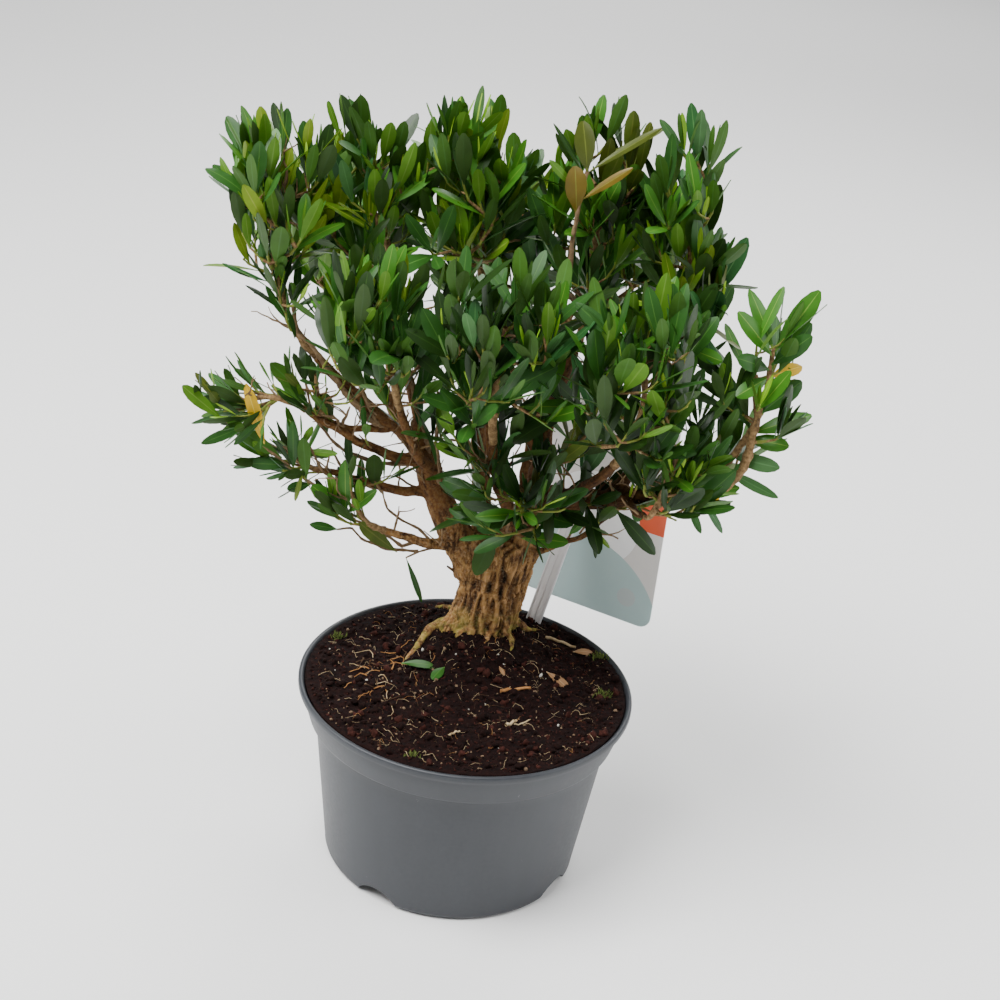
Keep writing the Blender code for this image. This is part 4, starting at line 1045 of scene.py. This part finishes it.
def foliage(lines, dice):
    """Every mass grown from its stem: shoots, twigs and leaves, joined by kind."""
    leaves, twigs = {}, Bundle()
    stems = {name: (points, radii) for name, points, radii in lines}
    wood = [resample(points, 2.0) for _, points, _ in lines]
    for name, mass in MASSES.items():
        points, radii = stems[name]
        knotty = wander(resample(points, 3.2), 0.6, mass.centre[2])
        girth = np.interp(np.linspace(0, 1, len(knotty)), np.linspace(0, 1, len(radii)), radii)
        twigs.add(*loft(knotty, girth * [dice.uniform(0.82, 1.25) for _ in girth], 8), 1)
        targets = sorted(shoot_targets(mass, dice), key=lambda t: np.linalg.norm(t[0] - points[0]))
        grown = grow(targets, [resample(points, 2.0)], dice, mass.centre[0])
        wood += [resample(shoot["line"], 2.0) for shoot in grown]
        for shoot in grown:
            clothe(mass, shoot, leaves, twigs, dice)
    places = [(np.array(place, float), pairs, "outer") for *place, pairs in FILLS]
    for shoot in grow(places, wood, dice, 500, 16.0):
        clothe(FILL_MASS, shoot, leaves, twigs, dice)
    bare_twigs(twigs, lines, dice)
    for path, radius in SET_TWIGS:
        points = wander(resample(np.array(path, float), 2.0), 0.8, radius)
        girth = np.linspace(radius, radius * 0.5, len(points)) * [dice.uniform(0.8, 1.3) for _ in points]
        twigs.add(*loft(points, girth, 6), 3 if radius < 2 else 1)
    placed = [(foot, tip, (0.1, -0.8, 0.6) if upper else (-0.1, 0.8, -0.5), width, kind, 0.3)
              for foot, tip, width, kind, upper in SET_LEAVES]
    for foot, tip, width, kind in FALLEN_LEAVES:
        level = max(soil_height(*spot) for spot in np.linspace(foot, tip, 6))
        placed.append(((*foot, level + 1.0), (*tip, level + 1.8), (0.1, -0.25, 1), width, kind, 0.4))
    for base, tip, face, width, kind, curl in placed:
        base, tip = np.array(base, float), np.array(tip, float)
        leaves.setdefault(kind, []).append(leaf(base, unit(tip - base), np.array(face, float),
                                                np.linalg.norm(tip - base), width, dice, curl, 0.15))
    tones = [grained("boxwood_green_shoot", 0.6, "606c28", "868c40", 4),
             grained("boxwood_twig_bark", 0.8, "57402a", "a08259", 1.8),
             grained("boxwood_leaf_scar", 0.8, "a58c66", "c9b58e", 2),
             grained("boxwood_dead_twig", 0.85, "5b4834", "93795a", 3)]
    twigs.made("twigs", "foliage", tones, tuple(MASSES))
    for kind, grown in leaves.items():
        for number, first in enumerate(range(0, len(grown), LEAVES_A_PIECE), 1):
            corners, faces, slots = leaf_blades(grown[first:first + LEAVES_A_PIECE])
            dressed(mesh_object(f"leaves_{kind}_{number}", corners, faces), leaf_materials(kind), slots)


# Leafy shoots on the older wood between the masses: where each ends, and its leaf pairs.
FILL_MASS = Mass("", (0, 30, 240), (400, 400, 400), (), 0, 0, SHADED_LOW_KINDS)
FILLS = (
    (-25, 0, 254, 5), (-21, 5, 235, 4), (-13, 12, 219, 4), (10, 10, 231, 4), (1, 0, 252, 5), (-35, 5, 254, 4),
    (26, 12, 216, 4), (41, 20, 236, 5), (48, 10, 257, 5), (46, 25, 213, 4), (61, 15, 235, 5), (78, 10, 245, 5),
    (96, 5, 255, 5), (29, 0, 258, 5), (72, 10, 223, 4), (-8, 20, 189, 3), (27, 18, 186, 3), (57, 22, 191, 3),
    (-102, 30, 282, 5), (-108, 30, 294, 5), (-62, 18, 256, 4), (-54, 20, 240, 3), (-48, 15, 261, 5),
    (-63, 20, 223, 2), (-77, 15, 183, 2),
    (-68, 15, 203, 2), (-49, 25, 198, 2), (-93, 15, 197, 3), (99, 30, 291, 5), (99, 40, 308, 6), (94, 30, 275, 5),
    (111, 10, 265, 4), (107, 5, 246, 4), (-31, 0, 301, 5), (23, 10, 304, 5), (-39, 20, 317, 6), (43, 10, 292, 6),
    (81, 15, 294, 6), (10, 40, 240, 4), (-20, 50, 230, 4), (30, 60, 235, 4), (-5, 30, 262, 5), (45, 40, 265, 5),
    (-40, 60, 250, 4), (0, 80, 240, 4), (60, 60, 262, 5), (-60, 50, 262, 5), (-30, 30, 280, 6), (20, 30, 282, 6),
    (-112, 28, 296, 5), (-109, 25, 288, 5), (-105, 22, 278, 5), (-117, 25, 302, 5), (-98, 15, 287, 5),
    (-88, 14, 280, 5), (38, 20, 241, 5), (47, 20, 226, 4),
    (-24, 20, 228, 4), (4, 15, 223, 4), (-37, 25, 229, 4), (-11, 25, 213, 3), (36, 20, 214, 4), (95, 40, 320, 5),
    (99, 35, 312, 4), (91, 28, 306, 5), (96, 22, 296, 5), (87, 12, 286, 5), (88, 36, 313, 5), (99, 28, 303, 4),
    (-94, 18, 214, 3), (36, 16, 194, 3), (51, 14, 200, 3),
)

# Leaves set one by one: foot, tip, width, kind, and whether the upper side shows from the front.
SET_LEAVES = (
    # A spray over the fork of the trunk, and a leaf that hangs from a twig under the left boughs.
    ((-0.8, 27, 177), (-16, 27, 182), 10, "deep", True), ((11, 25, 184), (-3.5, 19, 176), 11, "blue", False),
    ((13.7, 24, 188), (43, 14, 189), 10, "deep", True), ((11.8, 24, 184), (28.5, 17, 179), 10, "shade", True),
    ((19.7, 26, 171), (41, 15, 178), 8.5, "mid", True), ((5.8, 28, 172), (-1.5, 24, 149), 10.5, "shade", False),
    ((-38.2, 34, 148), (-26.5, 31, 123.5), 3.4, "deep", True),
    # The open spray at the right.
    ((124.2, 6, 290), (106.5, 2, 311), 9, "mid", True), ((124, 7.5, 293), (110.6, 14, 319), 9, "mid", True),
    ((124.5, 6.5, 292), (140.5, 8, 323), 10, "mid", True), ((124.4, 5.5, 286), (137.3, -4, 304.7), 9, "deep", True),
    ((124.6, 5.5, 280), (141, 14, 285), 7, "yellow", True), ((123, 5.3, 261), (141.3, 12, 278), 9.5, "deep", True),
    ((120.5, 4.8, 251), (145.7, 0, 266), 9, "mid", True), ((119.5, 4.8, 248), (138, -2, 250.3), 8.5, "mid", True),
    ((114.5, 4.8, 238), (136.6, 0, 236.3), 8, "blue", False), ((111, 5, 231), (138, 8, 217.5), 5.5, "blue", False),
    ((97, 7.5, 211.5), (104.5, 2, 196.8), 4, "blue", False), ((101, 6.8, 216), (119.2, 10, 193.7), 3.6, "blue", True),
    ((123.9, 5.3, 283.5), (108.7, -2, 290.6), 8.5, "deep", True), ((124, 5.5, 279.6), (110, -6, 273.7), 8, "mid", True),
    ((120, 5.5, 253), (102.2, 4, 281.3), 10, "deep", True), ((105, 5.5, 221.5), (93.4, -4, 248.5), 10.5, "deep", True),
    ((103.5, 6.3, 219), (85.3, 2, 231.8), 8, "mid", True), ((105, 5.8, 219.5), (111.2, 2, 213.8), 5, "yellow", True),
    # Leaves on the thin twigs at the lower left.
    ((-101.6, 10.8, 207), (-130, 6, 226), 8, "deep", False), ((-130.3, 6, 226), (-150.6, 2, 243), 6.5, "mid", False),
    ((-110, 9.6, 213), (-118.7, 4, 244.8), 6.5, "yellow", True),
    ((-98.5, 12, 203), (-116.3, 6, 204.9), 6.5, "deep", True),
    ((-87, 15.4, 192.6), (-97.3, 8, 192.6), 5.5, "deep", True), ((-69.5, 18.5, 178), (-85, 12, 193.2), 8, "mid", True),
    ((-69.5, 18.5, 178), (-70.7, 14, 206.3), 8, "mid", True), ((-69, 19, 177), (-55.8, 16, 192.5), 6, "mid", True),
    ((-72.8, 18, 168), (-85.4, 12, 172.4), 5, "deep", True),
    ((-43, 33.5, 151), (-65.3, 20, 173.3), 7.5, "bronze", False),
    ((-56.5, 29, 187), (-58.5, 24, 211), 9, "shade", False), ((-82, 24.5, 216.5), (-85.2, 24, 240), 9, "shade", False),
    ((-93, 20, 238), (-111.7, 16, 254), 8, "deep", False), ((-94, 21, 244), (-94.8, 24, 258), 5, "shade", True),
    ((-96, 13, 201.5), (-97, 10, 225.9), 6, "deep", True),
    ((-89.4, 15, 194.5), (-92.7, 14, 219.7), 6.5, "deep", False),
    # Leaves that hang in front of the label.
    ((63.6, 14, 198.3), (87.1, 8, 179.9), 8.5, "shade", True), ((74.6, 12, 202.6), (74, 8, 196.3), 6.2, "deep", True),
    ((55.3, 24, 178.8), (58.2, 22, 165.8), 2.6, "shade", True),
    ((55.7, 24, 180.1), (64, 20, 174.5), 2.6, "olive", True),
    ((43.1, 31, 173.5), (49, 28, 183.1), 4.1, "mid", True),
    # The turned leaves at the head of a pale shoot in the middle of the crown.
    ((26.1, 30, 340.1), (23.4, 26, 361.9), 10.9, "orange", True),
    ((28.8, 34, 358.7), (24.7, 32, 381.8), 10.3, "bronze", True),
    ((27.6, 31, 346), (48, 28, 365), 4.2, "orange", True), ((29.4, 34, 358.7), (59, 34, 384), 3.8, "bronze", True),
    ((27, 30.5, 350), (9.1, 26, 364), 4, "mid", False), ((28, 32, 357), (12, 34, 380), 2.6, "shade", True),
)
# Bare twigs set one by one: their course, and radius at the foot.
SET_TWIGS = (
    (((9, 34, 160), (12, 28, 173), (11.5, 24.5, 184), (15, 22, 194)), 1.0),
    (((12, 28, 173), (19.7, 26, 171)), 0.6), (((5, 33, 166), (5.8, 28, 172)), 0.7),
    (((9, 27, 181), (-0.8, 27, 177)), 0.6),
    (((-55, 33, 220), (-61.7, 28, 225), (-71.2, 28, 234.5), (-80.3, 27, 245), (-87.2, 27, 254.6), (-93, 27, 262),
      (-99.5, 27, 266), (-103, 28, 280)), 1.8),
    (((-58, 30, 222), (-61.1, 27, 230.4), (-67.9, 26, 243), (-75.9, 25, 254), (-82.8, 25, 262), (-87, 26, 274)), 1.1),
    (((-31, 36, 205), (-34, 26, 223), (-40.5, 22, 239), (-43.3, 20, 255), (-47.5, 20, 268)), 1.3),
    (((-25, 37, 190), (-25, 26, 203), (-28.2, 23, 219), (-27.8, 20, 237), (-30.3, 20, 250)), 1.2),
    (((-19.3, 42, 155), (-27, 40, 152), (-32.5, 37, 151), (-38.4, 34, 148)), 0.9),
    (((103, 5, 217), (112.7, 5, 234), (119.4, 5, 249), (122.8, 5, 261), (124, 5, 277), (124, 7, 294)), 2.0),
    (((-36, 36, 200), (-58, 31, 201), (-72.6, 28, 206.7), (-80.6, 25, 214), (-89, 22, 226), (-94, 20.5, 245)), 1.2),
    (((-60, 28.5, 190), (-75, 24, 191.5), (-83, 21, 198), (-89, 18, 211)), 1.1),
    (((-30, 35, 159), (-41, 35, 154), (-51, 31, 162.4), (-62, 28, 170.7), (-66, 24, 174), (-69.5, 18.5, 178)), 1.2),
    (((-32.5, 37, 151), (-50, 32, 153), (-61.3, 28, 159), (-66.3, 25, 166), (-72.8, 18, 168)), 0.9),
    (((-26, 37, 157), (-33, 36, 164), (-43, 33, 170), (-49, 31, 176), (-53, 28, 188)), 0.9),
    (((-53, 29, 186), (-60.7, 27, 198), (-70, 24, 203)), 0.7), (((-56, 29, 187), (-65.8, 26, 192.6)), 0.6),
    (((-72, 25, 190.5), (-80, 19, 189), (-89, 15, 194), (-101.8, 11, 206.6), (-116, 8.5, 216.5), (-130.5, 6, 226)),
     1.1),
    (((63.5, 22, 201), (63.6, 17, 200), (63.6, 14, 198.3)), 0.6), (((74, 18.5, 204.5), (74.6, 12, 202.6)), 0.5),
    (((55, 28, 182), (55.3, 24, 178.8)), 0.4), (((56, 27.5, 183), (55.7, 24, 180.1)), 0.4),
    (((42.5, 34, 168.8), (45.1, 32, 176.7), (49, 30, 182.7)), 0.6),
    (((48.5, 31, 175), (51.6, 26, 185.1), (51.3, 24, 191.8), (48.6, 22, 195.6)), 0.7),
    (((-9, 49, 135), (-11.5, 46, 136.6), (-16.7, 40, 142.6)), 1.0),
    (((35, 59, 284), (30, 43, 294), (26, 34, 301.3), (26.1, 32, 322.8), (26.4, 30, 339.5), (28.8, 34, 359)), 1.7),
)

# Leaves fallen on the soil: foot, tip, width and kind.
FALLEN_LEAVES = (
    ((-34, 6), (-15.5, 10), 6.5, "deep"), ((-12, 8), (-17, -3), 5.5, "deep"), ((54.1, 40.3), (65.7, 43.2), 4.6, "dry"),
    ((40.7, 18), (52.9, 6.4), 5.4, "dry"), ((16, 14), (19, 7), 2.6, "dry"),
)


# The label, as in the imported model, in millimetres and degrees; the card's sizes are half its width and height.
LANCE_FOOT = (28.4, 65.3, 84.5)
LANCE_TOP = (48.7, 85.5, 171.5)
LABEL_TURN = -27
CARD_CENTRE = (58.8, 81.9, 169)
CARD_HALF = (40, 63.5)
CARD_CORNER = 7


def plate(name, outline, thickness, bevel, material, place, replaces=()):
    """A thin plate from an outline in its own upright plane, with softened edges, set at a place."""
    corners = [(x, crack_tone_and_shade, z) for crack_tone_and_shade in (-thickness / 2, thickness / 2) for x, z in outline]
    obj = solid(name, corners, closed(corners, skin(2, len(outline)), len(outline)))
    soften = obj.modifiers.new("edges", "BEVEL")
    soften.width = bevel * MM
    soften.segments = 2
    soften.limit_method = "ANGLE"
    soften.angle_limit = math.radians(50)
    apply_modifiers(obj)
    dressed(obj, [material], replaces=replaces)
    obj.data.set_sharp_from_angle(angle=math.radians(40))
    obj.matrix_world = place


def label_surface():
    """Printed plastic card: plain fields of colour, with no words and no picture."""
    made, tree, inputs = finish("printed_polypropylene_card", 0.38, Specular_IOR_Level=0.5)
    place = node(tree, "TexCoord", out="Object")
    across, height = (node(tree, "SeparateXYZ", {"Vector": place}, axis) for axis in "XZ")
    band = 1.0
    for value, edge, test in ((across, 16, "GREATER_THAN"), (height, -7, "GREATER_THAN"),
                              (height, 14, "LESS_THAN")):
        inside = node(tree, "Math", {0: value, 1: edge * MM}, operation=test)
        band = node(tree, "Math", {0: band, 1: inside}, operation="MULTIPLY")
    fields = [(1.0, "dedad6", "e8e4e0"), (band, "e0562c", "e0562c")]
    flat = node(tree, "CombineXYZ", {"X": across, "Z": height})
    # Round fields: the place of each centre, its radius, and its two tones.
    for x, z, radius, dark, light in ((-1, -9, 27, "ffffff", "ffffff"), (-7, -73, 53, "b0c9c8", "bcd2d0"),
                                      (24.2, -48.8, 5.4, "b9c6c5", "c2c9c8")):
        gap = node(tree, "VectorMath", {0: flat, 1: (x * MM, 0, z * MM)}, "Value", operation="DISTANCE")
        fields.append((node(tree, "Math", {0: gap, 1: radius * MM}, operation="LESS_THAN"), dark, light))
    wear = spots(tree, 14, 4)
    base = "ffffff"
    for share, dark, light in fields:
        tone = node(tree, "Mix", {SHARE: wear, UNDER: dark, OVER: light}, **PAINT)
        base = node(tree, "Mix", {SHARE: share, UNDER: base, OVER: tone}, **PAINT)
    joined(tree, inputs, Base_Color=base,
           Normal=node(tree, "Bump", {"Height": wear, "Distance": 0.15 * MM, "Strength": 0.3}))
    return made


def plant_label():
    """The label: a translucent lance pushed into the soil, with a blank printed card on it."""
    foot, top, card = (Vector(spot) for spot in (LANCE_FOOT, LANCE_TOP, CARD_CENTRE))
    turn = Matrix.Rotation(math.radians(LABEL_TURN), 4, "Z")
    lean = Vector(UP).rotation_difference(top - foot).to_matrix().to_4x4()
    tall = (top - foot).length / 2
    outline = [(-4.5, 8 - tall), (0, -tall), (4.5, 8 - tall), (4.5, tall - 2), (3, tall), (-3, tall), (-4.5, tall - 2)]
    plastic, tree, inputs = finish("moulded_polystyrene", 0.4, Specular_IOR_Level=0.5, Transmission_Weight=0.2)
    joined(tree, inputs, Base_Color=node(tree, "Mix", {SHARE: spots(tree, 9, 3), UNDER: "f6f2f4", OVER: "ffffff"},
                                         **PAINT))
    place = Matrix.Translation((foot + top) / 2 * MM) @ lean @ turn
    plate("label_stake", outline, 1.2, 0.3, plastic, place, ("label_lance",))
    for number, x in enumerate((-3.6, 0.0, 3.6), 1):
        rib = [(x - 0.45, 11 - tall), (x + 0.45, 11 - tall), (x + 0.45, tall - 5), (x - 0.45, tall - 5)]
        plate(f"label_rib_{number}", rib, 1.8, 0.2, plastic, place)
    wide, high = CARD_HALF[0] - CARD_CORNER, CARD_HALF[1] - CARD_CORNER
    corners = [(sx * wide + CARD_CORNER * math.cos(a), sz * high + CARD_CORNER * math.sin(a))
               for sx, sz, first in ((1, 1, 0), (-1, 1, 1), (-1, -1, 2), (1, -1, 3))
               for a in np.linspace(first * math.pi / 2, (first + 1) * math.pi / 2, 9)]
    plate("label_blank", corners, 0.8, 0.2, label_surface(), Matrix.Translation(card * MM) @ turn,
          ("label_card",))


studio()
nursery_pot()
soil_bed()
soil_crumbs(random.Random(SEED))
soil_fibres(random.Random(SEED + 1))
grown_lines = wood_lines()
trunk_and_boughs([line for line in grown_lines if line[0] in BOUGHS])
foliage(grown_lines, random.Random(SEED + 2))
plant_label()
